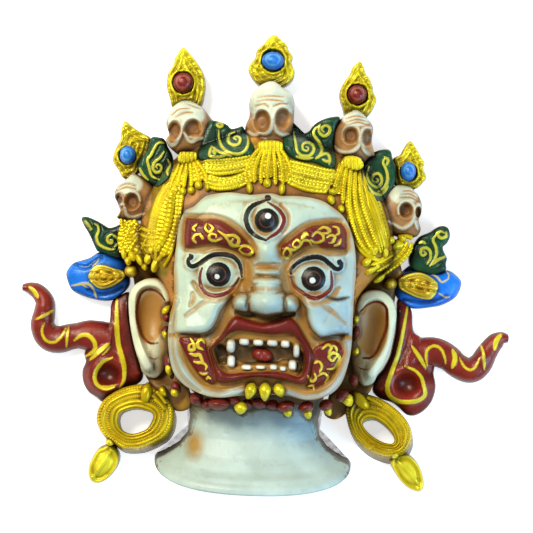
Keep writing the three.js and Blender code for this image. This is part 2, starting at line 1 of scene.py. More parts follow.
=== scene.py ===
import bpy
import numpy as np
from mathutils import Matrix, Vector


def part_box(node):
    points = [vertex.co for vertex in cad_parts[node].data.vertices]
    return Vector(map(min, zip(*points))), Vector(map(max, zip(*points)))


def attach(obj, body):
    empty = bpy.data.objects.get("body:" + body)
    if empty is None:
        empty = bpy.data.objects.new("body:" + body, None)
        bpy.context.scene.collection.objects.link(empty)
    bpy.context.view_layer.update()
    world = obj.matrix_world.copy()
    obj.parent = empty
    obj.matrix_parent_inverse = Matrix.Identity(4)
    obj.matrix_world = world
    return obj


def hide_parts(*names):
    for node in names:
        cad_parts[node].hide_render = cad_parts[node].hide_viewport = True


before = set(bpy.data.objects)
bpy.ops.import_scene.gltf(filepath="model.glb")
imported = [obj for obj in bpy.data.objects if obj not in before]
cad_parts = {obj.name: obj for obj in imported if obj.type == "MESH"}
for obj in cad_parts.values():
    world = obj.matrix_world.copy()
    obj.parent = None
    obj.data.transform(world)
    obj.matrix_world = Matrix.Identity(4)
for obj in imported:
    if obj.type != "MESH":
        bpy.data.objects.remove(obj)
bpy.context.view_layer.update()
low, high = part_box("mask")
DRAWN_WIDTH = 302.9  # mm over the tails of the scarves
MM = (high[0] - low[0]) / DRAWN_WIDTH  # metres to one drawn millimetre

# Head shell: the hollow clay body that carries the face and the crown. It is cast in one
# piece with the rest, about 7 mm thick, washed brown over the front and left raw inside.
HEAD_MIDDLE = (-2, 5)
HEAD_OUTLINE = [
    (76, 6), (73, 36), (56, 62), (28, 78), (0, 84), (-30, 79), (-58, 64), (-76, 36), (-78, 6), (-61, -20),
    (-59, -48), (-52, -70), (-36, -84), (-12, -88), (12, -88), (34, -82), (47, -66), (54, -45), (57, -18),
]
HEAD_PROFILE = [
    (0, 48), (0.3, 47.4), (0.6, 45), (0.85, 41.3), (0.91, 36.5), (0.95, 30), (0.985, 23), (1, 17.3),
]
HOLLOW_PROFILE = [(0, 38), (0.5, 36), (0.8, 33.4), (0.93, 23.6), (1, 9.9)]
WALL = 7
NECK_ARCH = 19  # height of the opening that the neck stands over
RIM_HEIGHT = 16  # the most that the outer rim is lifted there
HEAD_FADE = 1.3  # share of the reach at which nothing of the shell is left
TURN_STEPS, INNER_RINGS, OUTER_RINGS = 220, 12, 76
BARE = -9.0  # what a coat's attribute says where it isn't painted
# Where gold was washed over the shell under the garlands: the left and right tassels and the brow band.
GILDED = [
    [(-77, 42), (-68, 56), (-56, 68), (-44, 66), (-40, 52), (-52, 44), (-58, 30), (-58, 4), (-60, -8),
     (-68, -10), (-72, 4), (-74, 22)],
    [(46, 56), (56, 62), (66, 40), (74, 14), (72, -6), (62, -6), (56, 8), (52, 28), (40, 42), (34, 50)],
    [(-44, 66), (-20, 72), (0, 74), (20, 70), (46, 64), (44, 52), (20, 50), (8, 54), (-10, 54), (-22, 51),
     (-42, 52)],
]
pieces = []


def smooth(points, count, closed=False):
    """Evenly spaced places on a Catmull-Rom curve: each span is a cubic that leaves a point in the
    direction of its two neighbours."""
    p = np.array(points, float)
    q = np.vstack([p[-1:], p, p[:2]]) if closed else np.vstack([2 * p[0] - p[1], p, 2 * p[-1] - p[-2]])
    t = np.linspace(0, 1, 12, endpoint=False)[None, :, None]
    a, b, c, d = (q[i:len(q) - 3 + i, None] for i in range(4))
    dense = 0.5 * (2 * b + (c - a) * t + (2 * a - 5 * b + 4 * c - d) * t**2 + (3 * b - a - 3 * c + d) * t**3)
    dense = np.vstack([dense.reshape(-1, p.shape[1]), p[:1] if closed else p[-1:]])
    run = np.append(0, np.cumsum(np.linalg.norm(np.diff(dense, axis=0), axis=1)))
    at = np.linspace(0, run[-1], count, endpoint=not closed)
    return np.stack([np.interp(at, run, axis) for axis in dense.T], 1)


def reach_of(points, middle):
    """How far a closed outline reaches from its middle at an angle, read off its smooth curve."""
    line = smooth(points, 20 * len(points), True)[:, :2] - middle
    turned, far = np.arctan2(line[:, 1], line[:, 0]), np.hypot(*line.T)
    return lambda angle: np.interp(angle, turned, far, period=2 * np.pi)


def oval(rx, ry, turn=0.0):
    """Reach of an oval at an angle: the product of its half sizes over the length of the crossed pair."""
    return lambda angle: rx * ry / np.hypot(ry * np.cos(angle - turn), rx * np.sin(angle - turn))


def skin(rows):
    """Closed form from rings of places, each ring joined to the next and both end rings closed by a fan.
    Rings run against the clock and up the outside."""
    count, around = rows.shape[:2]
    number = np.arange(count * around).reshape(count, around)
    a, b = number[:-1], number[1:]
    quads = np.stack([a, np.roll(a, -1, 1), np.roll(b, -1, 1), b], -1).reshape(-1, 4)
    first, last, total = number[0], number[-1], count * around
    fans = [np.stack([np.full(around, total), np.roll(first, -1), first], 1),
            np.stack([np.full(around, total + 1), last, np.roll(last, -1)], 1)]
    points = np.vstack([rows.reshape(-1, 3), rows[0].mean(0), rows[-1].mean(0)])
    return points, quads, np.vstack(fans), {}


def inside(x, y, outline):
    """How far inside a closed outline each place lies, in mm, and under nought outside. A place is inside
    when a line from it crosses the outline an odd number of times."""
    line = smooth(outline, 5 * len(outline), True)
    line = np.vstack([line, line[:1]])
    odd, least = np.zeros(x.shape, bool), np.full(x.shape, 1e9)
    for (ax, ay), (bx, by) in zip(line[:-1], line[1:]):
        dx, dy = bx - ax, by - ay
        t = np.clip(((x - ax) * dx + (y - ay) * dy) / (dx * dx + dy * dy + 1e-9), 0, 1)
        least = np.minimum(least, np.hypot(x - ax - t * dx, y - ay - t * dy))
        odd ^= ((ay > y) != (by > y)) & (x < ax + dx * (y - ay) / (dy + (dy == 0) * 1e-9))
    return np.where(odd, least, -least)


def build(name, forms, material):
    """One object from a list of closed forms, with their paint as float attributes on the places. Places are
    kept in drawn mm in the list of pieces, for the stain."""
    starts = np.cumsum([0] + [len(f[0]) for f in forms[:-1]])
    points = np.vstack([f[0] for f in forms])
    quads = np.vstack([f[1] + s for f, s in zip(forms, starts)])
    fans = np.vstack([f[2] + s for f, s in zip(forms, starts)])
    mesh = bpy.data.meshes.new(name)
    mesh.vertices.add(len(points))
    mesh.vertices.foreach_set("co", (points * MM).ravel())
    mesh.loops.add(quads.size + fans.size)
    mesh.loops.foreach_set("vertex_index", np.append(quads.ravel(), fans.ravel()).astype(np.int32))
    mesh.polygons.add(len(quads) + len(fans))
    begin = np.append(np.arange(len(quads)) * 4, quads.size + np.arange(len(fans)) * 3)
    mesh.polygons.foreach_set("loop_start", begin.astype(np.int32))
    mesh.update(calc_edges=True)
    mesh.polygons.foreach_set("use_smooth", np.ones(len(begin), bool))
    for coat in sorted({key for f in forms for key in f[3]}):
        value = np.concatenate([f[3].get(coat, np.full(len(f[0]), BARE)) for f in forms])
        mesh.attributes.new(coat, "FLOAT", "POINT").data.foreach_set("value", value.astype(np.float32))
    mesh.materials.append(material)
    made = bpy.data.objects.new(name, mesh)
    bpy.context.scene.collection.objects.link(made)
    pieces.append((made, points))
    return made


def tint(red, green, blue):
    """A colour as the eye reads it, from 0 to 255, in the linear form that a shader takes."""
    shade = np.array([red, green, blue]) / 255
    return (*np.where(shade > 0.04, ((shade + 0.055) / 1.055) ** 2.4, shade / 12.92), 1.0)


CLOUDS, SPECKS, GRAIN, BRUSH = 70, 260, 900, 2600  # noise scales, to a metre
RAW_CLAY, RAW_CLAY_DARK = (98, 74, 56), (70, 50, 38)
RAW_UNDER = (0.0009, 0.0014)  # metres over the floor between which the paint starts
STAIN_SHOWS, STAIN_COVERS, DEEP_STAIN = (0.06, 0.62), 0.94, (0.7, 1.4)
COAT_SHIELDS = 0.65  # share of the stain that a brush coat keeps off
BRUSH_BUMP, BRUSH_DEPTH = 0.22, 0.0006


def painted(name, colour, coats=(), metal=0.0, rough=0.42, stain=(128, 82, 40), grip=1.0, second=None):
    """Hand paint on clay. The base colour is clouded by noise; each coat (attribute, colour, soft edge in
    mm, metal) covers it where its attribute is over nought; a stain fills hollows by the attribute wash;
    at the rim that lies on the floor the clay is raw; a fine brushed bump lies over all."""
    made = bpy.data.materials.new(name)
    made.use_nodes = True
    nodes, links = made.node_tree.nodes, made.node_tree.links
    shader = nodes["Principled BSDF"]
    place = nodes.new("ShaderNodeTexCoord").outputs["Object"]

    def set_in(socket, value):
        if isinstance(value, bpy.types.NodeSocket):
            links.new(value, socket)
        else:
            socket.default_value = value

    def noise(scale, detail):
        node = nodes.new("ShaderNodeTexNoise")
        node.inputs["Scale"].default_value = scale
        node.inputs["Detail"].default_value = detail
        links.new(place, node.inputs["Vector"])
        return node.outputs["Fac"]

    def worked(kind, *values):
        node = nodes.new("ShaderNodeMath")
        node.operation = kind
        for socket, value in zip(node.inputs, values):
            set_in(socket, value)
        return node.outputs[0]

    def spread(value, start, end, to_start=0.0, to_end=1.0):
        node = nodes.new("ShaderNodeMapRange")
        for socket, v in zip(node.inputs, (value, start, end, to_start, to_end)):
            set_in(socket, v)
        return node.outputs[0]

    def mixed(share, below, above):
        node = nodes.new("ShaderNodeMix")
        node.data_type = "RGBA"
        for socket, v in zip((node.inputs[0], node.inputs[6], node.inputs[7]), (share, below, above)):
            set_in(socket, v)
        return node.outputs[2]

    def attribute(key):
        node = nodes.new("ShaderNodeAttribute")
        node.attribute_name = key
        return node.outputs["Fac"]

    cloud, grain = noise(CLOUDS, 4), noise(GRAIN, 3)
    under = second or [c * 0.86 for c in colour]
    paint = mixed(spread(cloud, 0.35, 0.7), tint(*under), tint(*colour))
    metallic, covered = metal, 0.0
    wander = spread(grain, 0.3, 0.7, -0.16, 0.16)
    for key, shade, soft, shine in coats:
        share = spread(worked("ADD", attribute(key), wander), -soft, soft)
        worn = mixed(spread(cloud, 0.3, 0.75), tint(*[c * 0.82 for c in shade]), tint(*shade))
        paint = mixed(share, paint, worn)
        # Every coat but the ochre and the bluish painted shade keeps some of the stain off.
        if key not in ("ochre", "cool"):
            covered = worked("MAXIMUM", covered, share)
        if metal or shine:
            metallic = worked("MULTIPLY_ADD", share, worked("SUBTRACT", shine, metallic), metallic)
    low_spots = worked("ADD", attribute("wash"), spread(noise(SPECKS, 3), 0.3, 0.7, -0.12, 0.12))
    hold = worked("MULTIPLY_ADD", covered, -COAT_SHIELDS * grip, grip)
    washed = worked("MULTIPLY", spread(low_spots, *STAIN_SHOWS), hold)
    paint = mixed(worked("MINIMUM", washed, STAIN_COVERS), paint, tint(*stain))
    deep = spread(low_spots, *DEEP_STAIN)
    paint = mixed(worked("MULTIPLY", deep, 0.6), paint, tint(*[c * 0.42 for c in stain]))
    apart = nodes.new("ShaderNodeSeparateXYZ")
    links.new(place, apart.inputs[0])
    raw = spread(apart.outputs[2], *RAW_UNDER, 1.0, 0.0)
    paint = mixed(raw, paint, mixed(cloud, tint(*RAW_CLAY_DARK), tint(*RAW_CLAY)))
    links.new(paint, shader.inputs["Base Color"])
    clean = worked("SUBTRACT", 1.0, worked("MAXIMUM", raw, worked("MULTIPLY", washed, 0.7)))
    set_in(shader.inputs["Metallic"], worked("MULTIPLY", metallic, clean))
    set_in(shader.inputs["Roughness"], worked("ADD", spread(cloud, 0.3, 0.7, rough - 0.06, rough + 0.1),
                                              worked("MULTIPLY", raw, 0.4)))
    bump = nodes.new("ShaderNodeBump")
    bump.inputs["Strength"].default_value = BRUSH_BUMP
    bump.inputs["Distance"].default_value = BRUSH_DEPTH
    links.new(worked("ADD", grain, noise(BRUSH, 2)), bump.inputs["Height"])
    links.new(bump.outputs[0], shader.inputs["Normal"])
    return made


def level_at(share, profile):
    """Height at a share of the way out, on the straight spans of a profile."""
    return np.interp(share, *np.array(profile).T)


def top_of_head(x, y):
    """Height of the shell under a place, from its share of the way out to the outline. It runs out from
    the outline to HEAD_FADE."""
    dx, dy = x - HEAD_MIDDLE[0], y - HEAD_MIDDLE[1]
    share = np.hypot(dx, dy) / head_reach(np.arctan2(dy, dx))
    return level_at(share, HEAD_PROFILE) * np.clip((HEAD_FADE - share) / (HEAD_FADE - 1), 0, 1)


head_reach = reach_of(HEAD_OUTLINE, HEAD_MIDDLE)
turn = np.linspace(0, 2 * np.pi, TURN_STEPS, endpoint=False)
level, reach = 0 * turn, head_reach(turn)
arch = NECK_ARCH * np.clip(1.6 - abs(turn - 1.5 * np.pi) / 0.3, 0, 1)
inner, outer = np.linspace(0.06, 1, INNER_RINGS), np.append(1, np.linspace(0.985, 0.02, OUTER_RINGS))
rings = [(share * (reach - WALL), level_at(share, HOLLOW_PROFILE) + level) for share in inner]
rings[-1] = (rings[-1][0], np.maximum(rings[-1][1], arch + 3))
rings += [(reach - WALL, arch), (reach, np.minimum(arch, RIM_HEIGHT))]
rings += [(share * reach, level_at(share, HEAD_PROFILE) + level) for share in outer]
rows = [[HEAD_MIDDLE[0] + r * np.cos(turn), HEAD_MIDDLE[1] + r * np.sin(turn), z] for r, z in rings]
shell = skin(np.array(rows).transpose(0, 2, 1))
x, y, z = shell[0].T
gild = np.max([inside(x, y, o) for o in GILDED], axis=0)
outside = (np.arange(len(x)) > (INNER_RINGS + 1) * TURN_STEPS) & (z > 8)
gild = np.where(outside, gild + 0.8 * np.sin(x) * np.sin(0.7 * y), BARE)
washed_clay = painted("washed clay", (212, 150, 74), second=(190, 130, 60), stain=(140, 92, 38), coats=[
    ("gild", (176, 146, 28), 1.6, 0.45)])
head = build("head_shell", [(*shell[:3], {"gild": gild})], washed_clay)
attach(head, "root")
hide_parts("mask")

# Face: the white painted relief over the shell, with brow pads, lidded eyes, nose, lips, an open
# mouth and jaw folds. It is modelled wet, cast with the shell and painted by hand with a brush.
FACE_MIDDLE = (-2, -18)
FACE_OUTLINE = [
    (53, -2), (51.5, 13), (48, 24), (43.5, 31), (37.5, 35.5), (30, 39.5), (18, 41.4), (7, 41.2), (1.5, 42.4),
    (-5, 42), (-12, 41.2), (-23, 42.2), (-33, 41), (-39, 39), (-45, 33.3), (-50.5, 30), (-53.8, 21.7),
    (-55, 10), (-56, -5), (-55.5, -23), (-57.3, -33), (-58, -46), (-56, -60), (-52.8, -68), (-46, -74.5),
    (-36, -79), (-26, -80.5), (-14, -79), (1, -78), (14, -78), (25, -80), (33, -79), (41, -75.5), (46.5, -69),
    (50, -58), (51.7, -46), (52.3, -19.5),
]
BROWS = [
    [(-50, 23.4), (-48.9, 25.9), (-42.9, 25.5), (-38.7, 24.4), (-35.2, 25.7), (-29.2, 25.1), (-24.4, 22.6),
     (-17.1, 17.5), (-10.9, 11.1), (-8.4, 8.2), (-8.3, 4.7), (-13.6, 4.5), (-19.7, 7.8), (-28.7, 10.2),
     (-32.9, 11), (-40.6, 10.1), (-49.5, 9.2)],
    [(7.7, 7.6), (7.5, 11.2), (11, 13.7), (17.4, 18.7), (24.4, 23.4), (30.3, 24.5), (36.2, 25.6),
     (42.7, 26.1), (46.5, 20.9), (46.7, 14.9), (46.2, 10.7), (36.7, 11), (31.9, 11.1), (28.3, 13.1),
     (20.6, 10.4), (15.4, 6.7), (9.5, 4.7)],
]
BEARDS = [
    [(-51.2, -46.9), (-49.5, -44.9), (-44.7, -44.8), (-38.8, -44.6), (-35.7, -46.9), (-34.3, -52.2),
     (-31.7, -58.1), (-29.7, -65.2), (-27.7, -70.5), (-30.5, -73), (-33.6, -71.9), (-37.9, -68.4),
     (-42.3, -63.2), (-46.1, -57.4), (-48.6, -52.7)],
    [(28.8, -50), (31.6, -47.5), (35.7, -45), (41.7, -44.2), (45.3, -46.5), (47.2, -50.6), (45.6, -55.4),
     (42.8, -60.3), (39.5, -66.3), (34.9, -71.3), (30.2, -73.8), (25.4, -72.2), (27.6, -66.7), (28.5, -59)],
]
LIPS = [
    (-33.4, -51.5), (-30.2, -47.7), (-26.8, -43.5), (-24, -38.6), (-21.2, -33.8), (-17.1, -31.3),
    (-9.3, -33.4), (-4.5, -34.4), (-0.4, -34.8), (8.4, -32.2), (13.1, -30.5), (18.6, -34.2), (24.3, -42.9),
    (27.4, -48.1), (29.3, -52.8), (28.4, -58.8), (27.4, -64.7), (24.6, -70.2), (20.5, -70.6), (14.5, -69.3),
    (6.7, -68.1), (-1, -67.5), (-8.1, -67.8), (-16.9, -70.4), (-22.8, -71.5), (-27.6, -70.8), (-30.9, -60.8),
    (-32.9, -55),
]
MOUTH = [
    (-31.5, -51.8), (-29, -48.9), (-25.5, -46.4), (-22.1, -42.7), (-18.6, -40.8), (-13.8, -40.1),
    (-1.9, -41.4), (5.8, -41.7), (14.7, -40.8), (18.3, -43.1), (21.4, -47.1), (23.4, -52), (24.2, -58.9),
    (23.2, -63.7), (20.3, -66.2), (12.5, -64.1), (6.6, -63.4), (-1.1, -64), (-14.2, -65), (-20.1, -65.8),
    (-24.9, -64.2), (-28.6, -59.6), (-31.2, -53.1),
]
CHEEKS = [
    [(-62, -43), (-54, -43), (-44.6, -43), (-39.9, -42.7), (-34.6, -41.4), (-31.1, -38.3), (-28.9, -34),
     (-27.3, -29.2), (-24, -23.8), (-20.5, -19.6)],
    [(19, -19.6), (23.4, -25), (25.1, -32.2), (27.6, -38), (32.5, -42.2), (38.4, -41.4), (44.3, -40.4),
     (58, -41)],
]
EYES = [(-29, -7), (27.5, -7.6)]
THIRD_EYE = (-1.5, 26)
IRIS, IRIS_RIM = 7.3, 3.1  # radius of an iris, and how far inside it the thin red ring lies
# Heights over the back, and swellings: middle, half sizes, rise and how round the top is.
FACE_LEVEL, FACE_SWELL, EYE_LEVEL, THIRD_EYE_LEVEL = 41, 12.6, 44, 46
BULB_LEVEL, WING_LEVEL, MOUTH_FLOOR = 50, 49, 47.6
FOREHEAD = ((0, 26), (48, 22), 2.4)
FROWN = ((-1, 9.5), (12.5, 12), 8)
CHIN = ((0, -66), (40, 16), 2)
SOCKET, EYEBALL, THIRD_EYEBALL = ((22, 17), 3.6), ((15, 12), 13.5, 0.5), ((10, 11.5), 14, 0.5)
NOSE_RIDGE = ((0, -9), (15, 24), 6.5, 1.5)
NOSE_FOLDS = [((0.3, -4.6), (8.2, 3), 4.5, 1), ((0, -10.4), (9.4, 3.6), 6, 1)]
NOSE_BULBS = [((0.2, -22.2), (14, 11.2), 23, 0.9), ((0.2, -15.4), (11, 10.5), 20, 1)]
NOSE_WINGS = [((-14.2, -23.2), (7.8, 7.2), 16, 1), ((14, -23), (7.4, 7), 16, 1)]
# Pads: how far in from the outline the edge is rounded, and the full rise.
BROW_PAD, BEARD_PAD, LIP_PAD, CHEEK_PAD = (5, 4.6), (2, 1.8), (4.2, 5), (5.5, 8)
CHEEK_REACH = 27  # mm from the lower edge of a cheek to where its pad has run out
UNDER_NOSE = [(-17, -29.2), (-12, -30.4), (-6, -30), (0, -31), (6, -30), (12, -30), (16, -28.8)]
GUMS = [([(-25, -49), (-21, -44.5), (-13, -43), (-2, -43.6), (8, -43.6), (17, -44.5), (21, -51)], 4.5),
        ([(-24, -60), (-18, -64), (-9, -63), (0, -62.2), (10, -62.4), (18, -64), (21, -61)], 4)]
# Hollows of the mouth, cut in and painted dark as shade: half width and path.
CAVITIES = [
    (3.9, [(-26.5, -52), (-24.5, -57.5)]), (5.6, [(-15, -53), (-9, -55), (-3, -54), (6, -54.5)]),
    (4.6, [(7, -54), (12.5, -53), (20.6, -55), (21.4, -60)]),
]
JAW_FOLDS = [
    (1.5,
     [(-53.8, -24), (-56.2, -33), (-56.8, -42), (-56.4, -51), (-54.6, -60), (-51.6, -67.4), (-47, -72.6),
      (-41, -76.4)]),
    (2.3,
     [(-52.8, -46), (-51.9, -53.2), (-50, -60.3), (-46.9, -66.8), (-41.9, -72.7), (-36.9, -76.1),
      (-31, -77.6), (-25, -78), (-19, -77), (-12, -74.6)]),
    (2.2,
     [(49.3, -36), (49.6, -44), (49.4, -51), (48.4, -57), (46.6, -63.5), (43.4, -69.4), (38.8, -73.6),
      (32, -76.6), (25, -77.2), (18, -75.6), (12, -73.6)]),
]
# Brush lines: half width in mm and the points they run through.
BLACK_LINES = [
    (1.5, [(-46, 3.1), (-45.6, 2.7)]), (1.5, [(42.6, 3.1), (43, 2.7)]), (1.8, [(-1.8, 40), (-0.6, 39.4)]),
    (1.5,
     [(-46.6, 4.2), (-45.2, 3.8), (-45.4, 2.1), (-46.9, 2), (-47.5, 0.4), (-46.6, -2), (-44.3, -2.8),
      (-40.2, -0.6), (-36.2, 2.5), (-32.7, 4.4), (-28.5, 5), (-23.8, 4.7), (-20.1, 3.4), (-17.1, 0.2),
      (-15.7, -3.9), (-15, -8)]),
    (1.5,
     [(43.2, 4), (42, 3.4), (42.6, 1.9), (44.1, 2.3), (43.6, -0.6), (40.7, -1.3), (37, 1.5), (33.3, 4.3),
      (29.2, 5.4), (25, 4.9), (20.9, 3.6), (16.8, 0.8), (14, -2.9), (14.1, -5.2)]),
    (1.5,
     [(-1.4, 38.6), (-5.8, 36.8), (-10.5, 34.3), (-13.3, 30), (-13.8, 25.9), (-11.8, 20.6), (-7.5, 16.6),
      (-1.5, 14.1)]),
]
RED_LINES = [
    (1.2,
     [(-38.9, -3.5), (-40, -7.7), (-39.8, -12.5), (-37.9, -16.6), (-34.8, -18.8), (-30, -19.6),
      (-25.3, -18.5), (-21.2, -16), (-18.4, -12.3), (-16.7, -8.7)]),
    (1.2,
     [(14.1, -7), (15.5, -11.1), (17.9, -14), (21.6, -16.3), (25.8, -18.5), (30, -19), (34.1, -17),
      (37.6, -13.9), (38.6, -9.7), (37.8, -2.6)]),
    (1.2,
     [(-1.1, 37), (4.4, 33.6), (7.5, 30.2), (8.8, 26.7), (7.7, 22.5), (5.5, 19.4), (0.8, 16), (-1.5, 14.1)]),
]
OCHRE_LINES = [
    (1.3, [(-44, -12.5), (-38, -19), (-29, -22), (-20, -20)]),
    (1.3, [(43, -13), (37, -19.8), (28, -22.4), (20, -20)]),
    (2.2, [(-56.5, -2), (-56, -14), (-55.6, -26), (-57.4, -36)]),
    (1.6, [(53, -2), (53.4, -16), (53.4, -30), (52.6, -44)]),
    (0.7,
     [(-48, -32.4), (-44, -29.3), (-37.6, -24.3), (-32.3, -21.7), (-26.5, -20.3), (-20.6, -18.4),
      (-15.9, -15.8)]),
    (0.8, [(19.9, -18.7), (28.9, -20.8), (34.9, -24.1), (41, -28.1), (47.2, -33.2)]),
    (1,
     [(-54.5, -24), (-54.8, -34), (-55.3, -44), (-54.8, -53), (-52.6, -62), (-48.6, -69), (-43, -74),
      (-38, -77)]),
    (2.3,
     [(-51.9, -47), (-50, -55), (-45.5, -62.5), (-40, -69), (-34, -74), (-26, -75.5), (-18, -73),
      (-10, -71)]),
    (2.3,
     [(47, -46), (47, -54), (44, -62), (39, -69.5), (33, -74), (25, -75.5), (18, -73.5), (9, -71.5),
      (0, -70.5)]),
    (3.6, [(-13.6, 3), (-11.8, -3), (-12.4, -9), (-16, -15), (-22, -19)]),
    (2.2, [(-6, -1.5), (0, -2), (6, -1)]), (3.6, [(12.6, 3), (11.2, -3), (11.8, -9), (15, -15), (21, -18.6)]),
    (1.2, [(-8, -7.6), (0, -7.4), (8, -7)]),
    (2.6, [(-20.5, -21.5), (-22.5, -27), (-23.5, -33), (-27, -39.5), (-31.5, -45)]),
    (2.2, [(-50, -44.6), (-40, -45)]), (2.6, [(19, -21), (21, -26), (22, -33), (25.5, -39.5), (29.5, -46)]),
    (2, [(30, -44), (38, -44), (46, -43)]),
    (2.4, [(-33, -52), (-30, -60), (-28, -71), (-22, -73), (0, -70.5), (20, -72.5), (28, -72)]),
    (1.2, [(-44, -19), (-43.5, -22.5), (-45, -26)]), (0.6, [(-8.6, -1.4), (-3, -1.9), (2, -1.6), (7.6, 0.2)]),
    (0.8, [(-9.6, -8.6), (-4, -8), (2, -8), (9.6, -7)]),
    (0.7, [(-9.6, -14.6), (-3, -14.6), (3, -14.6), (9.4, -13.6)]),
    (0.8, [(6.7, 35.5), (10.4, 30.9), (11.1, 26.7), (10.1, 22), (8.4, 19.5)]),
    (1.7, [(-49, 7.2), (-40, 7.6), (-31, 8), (-22, 6.4), (-15, 2.6)]),
    (1.7, [(46, 8.6), (37, 8.6), (30, 9.2), (22, 8), (15, 3)]),
    (1.3, [(-50, 27.4), (-42, 27), (-34, 27.2), (-24, 24.4), (-14, 17), (-7, 9)]),
    (1.3, [(6.4, 11), (14, 18), (22, 24), (32, 26.8), (43, 27.6)]),
    (2, [(-18, -29.5), (-10, -31.4), (-1, -32.4), (9, -30.8), (16, -29)]),
]
# Painted shade: dark lines under the cheeks, under the nose, in the creases beside its wings, below the right
# eye and in the left corner of the mouth.
SHADE_LINES = [
    (1.5, [(-50, -44), (-44, -44.2), (-38, -44.4), (-33, -42.4), (-30, -39)]),
    (1.5, [(27, -40), (31, -43.6), (37, -43), (44, -41.4), (49, -40)]),
    (1.3,
     [(-18.6, -28.6), (-15, -30.4), (-10, -30.6), (-5, -30.2), (0, -31), (5, -30.2), (10, -30.2), (15, -30),
      (18, -28.2)]),
    (0.5, [(-9.6, -19), (-11.6, -22), (-12, -26)]), (0.5, [(9.6, -19), (11.6, -22), (12, -26)]),
    (1.2, [(35, -17.8), (42, -19.5), (49, -18)]), (1, [(-29, -55), (-26.5, -50), (-28, -60)]),
]
GOLD_LINES = [
    (0.75, [(-42.8, 22.5), (-45.1, 20), (-43.8, 18.3)]),
    (0.75, [(-35.7, 22.7), (-33.2, 20.4), (-35.5, 18), (-37.9, 20.3), (-37, 23)]),
    (0.8, [(-40.2, 16.6), (-43.7, 15.9), (-44.8, 13.5), (-43, 11.2)]), (0.9, [(-40.8, 16.6), (-38.9, 13.7)]),
    (0.9,
     [(-30.2, 18.8), (-26.5, 16.5), (-24.1, 16), (-20.6, 16.4), (-17.5, 13.9), (-19.2, 10.2), (-22.2, 11.9),
      (-21.1, 14.3)]),
    (0.75, [(-27.6, 14.1), (-32.3, 12.7), (-35.4, 14.4), (-34.3, 16.8), (-31.3, 16.3), (-31.2, 14.6)]),
    (0.75, [(-26.5, 15.9), (-24, 13.6), (-21.6, 10.2), (-16.8, 10.3)]),
    (0.9, [(-17.3, 7.9), (-15, 10.4), (-10.8, 9.9), (-9, 7.6), (-11.3, 5.2), (-14.8, 5.6), (-17.3, 7.9)]),
    (0.8, [(8.9, 7), (11.1, 10.1), (13.6, 7.2), (11.9, 4.2), (9.5, 4.7), (8.9, 7)]),
    (0.8, [(11.7, 9.5), (14.7, 9), (17.1, 9.7)]),
    (0.8, [(14.6, 13.2), (16.9, 15.1), (19.4, 12.8), (17.1, 10.3), (14.7, 11.4), (14.6, 13.2)]),
    (1.3, [(19.8, 15.8), (21.5, 18.8), (23.3, 18.3)]),
    (0.7, [(18.8, 11), (20.5, 14.6), (24, 14.7), (25.9, 11.8)]),
    (0.75, [(25.7, 17.2), (28.6, 20.2), (32.3, 18), (31.8, 15), (27.6, 13.7), (25.2, 15.3)]),
    (0.75, [(29.2, 21.4), (32.7, 23.3), (36.3, 21.7), (34.6, 19.8), (31.6, 19.7)]),
    (0.75, [(34.7, 16.9), (37, 18.7), (39.4, 17.6), (38.3, 14.6), (36, 13.9)]),
    (0.7, [(38, 24.1), (41, 23), (41.7, 20.1), (39.9, 18.8)]), (0.7, [(39, 12.3), (41.9, 13.6), (43, 16.6)]),
    (0.9, [(-44.5, -45.6), (-42.6, -48.5), (-42, -52), (-44.6, -52.6), (-45.2, -50), (-43.6, -49)]),
    (0.95, [(-36, -48), (-37.5, -46), (-39.8, -47.2), (-39.6, -50.5), (-36.8, -52)]),
    (1, [(-44.5, -54.8), (-41, -55.6), (-38.6, -55.2), (-37.2, -58), (-36, -60)]),
    (0.8, [(-42, -59.5), (-39.4, -60), (-36.6, -60), (-34.4, -61.6), (-34.8, -64)]),
    (0.65, [(-38.6, -66), (-36, -66.8), (-33.4, -66)]), (0.65, [(-34.2, -70), (-33, -68.4), (-31.4, -69.6)]),
    (0.8, [(34.2, -49.4), (37.2, -46.6), (39.6, -48), (38, -52)]),
    (0.8, [(40.6, -46.8), (42.4, -48.2), (43, -50.2)]),
    (0.95,
     [(43, -53.4), (40.6, -56.2), (38.4, -54), (40.4, -51.4), (44, -52.6), (44.6, -56), (42, -60.4),
      (37.6, -61.2)]),
    (0.75, [(29.6, -58), (32.4, -56.8), (34.4, -59.4), (33, -63.4)]),
    (0.75, [(26, -65), (28.6, -68.8), (31, -67), (30, -63.6)]),
    (0.75, [(32.4, -65.4), (35.6, -63.6), (38.4, -66.2), (36.6, -69.6)]),
    (0.6, [(26.6, -72), (29.4, -71.4), (30.2, -74)]),
]
# A painted highlight, a white dot, in each iris: radius and middle.
IRIS_HIGHLIGHTS = [(1.5, (-29.8, -8.3)), (1.8, (26.9, -8.6)), (1.8, (-0.8, 28.7))]


def nearness(x, y, half, points, taper=0.55):
    """How far inside a brush line each place lies: the line's half width, which thins towards its ends,
    less the distance to the nearest of its straight spans. Only places near the line are worked out."""
    line = smooth(points, max(8, 5 * len(points)))
    value = np.full(x.shape, BARE)
    near = ((x > line[:, 0].min() - 6) & (x < line[:, 0].max() + 6)
            & (y > line[:, 1].min() - 6) & (y < line[:, 1].max() + 6))
    px, py, best = x[near], y[near], value[near]
    widths = half * (1 - taper * abs(np.linspace(-1, 1, len(line) - 1)) ** 3)
    for (ax, ay), (bx, by), w in zip(line[:-1], line[1:], widths):
        dx, dy = bx - ax, by - ay
        t = np.clip(((px - ax) * dx + (py - ay) * dy) / (dx * dx + dy * dy + 1e-9), 0, 1)
        best = np.maximum(best, w - np.hypot(px - ax - t * dx, py - ay - t * dy))
    value[near] = best
    return value


def pillow(depth, edge, rise):
    """Quarter circle from nought at an outline to the full rise at edge mm inside it."""
    t = np.clip(depth / edge, 0, 1)
    return rise * np.sqrt(t * (2 - t))


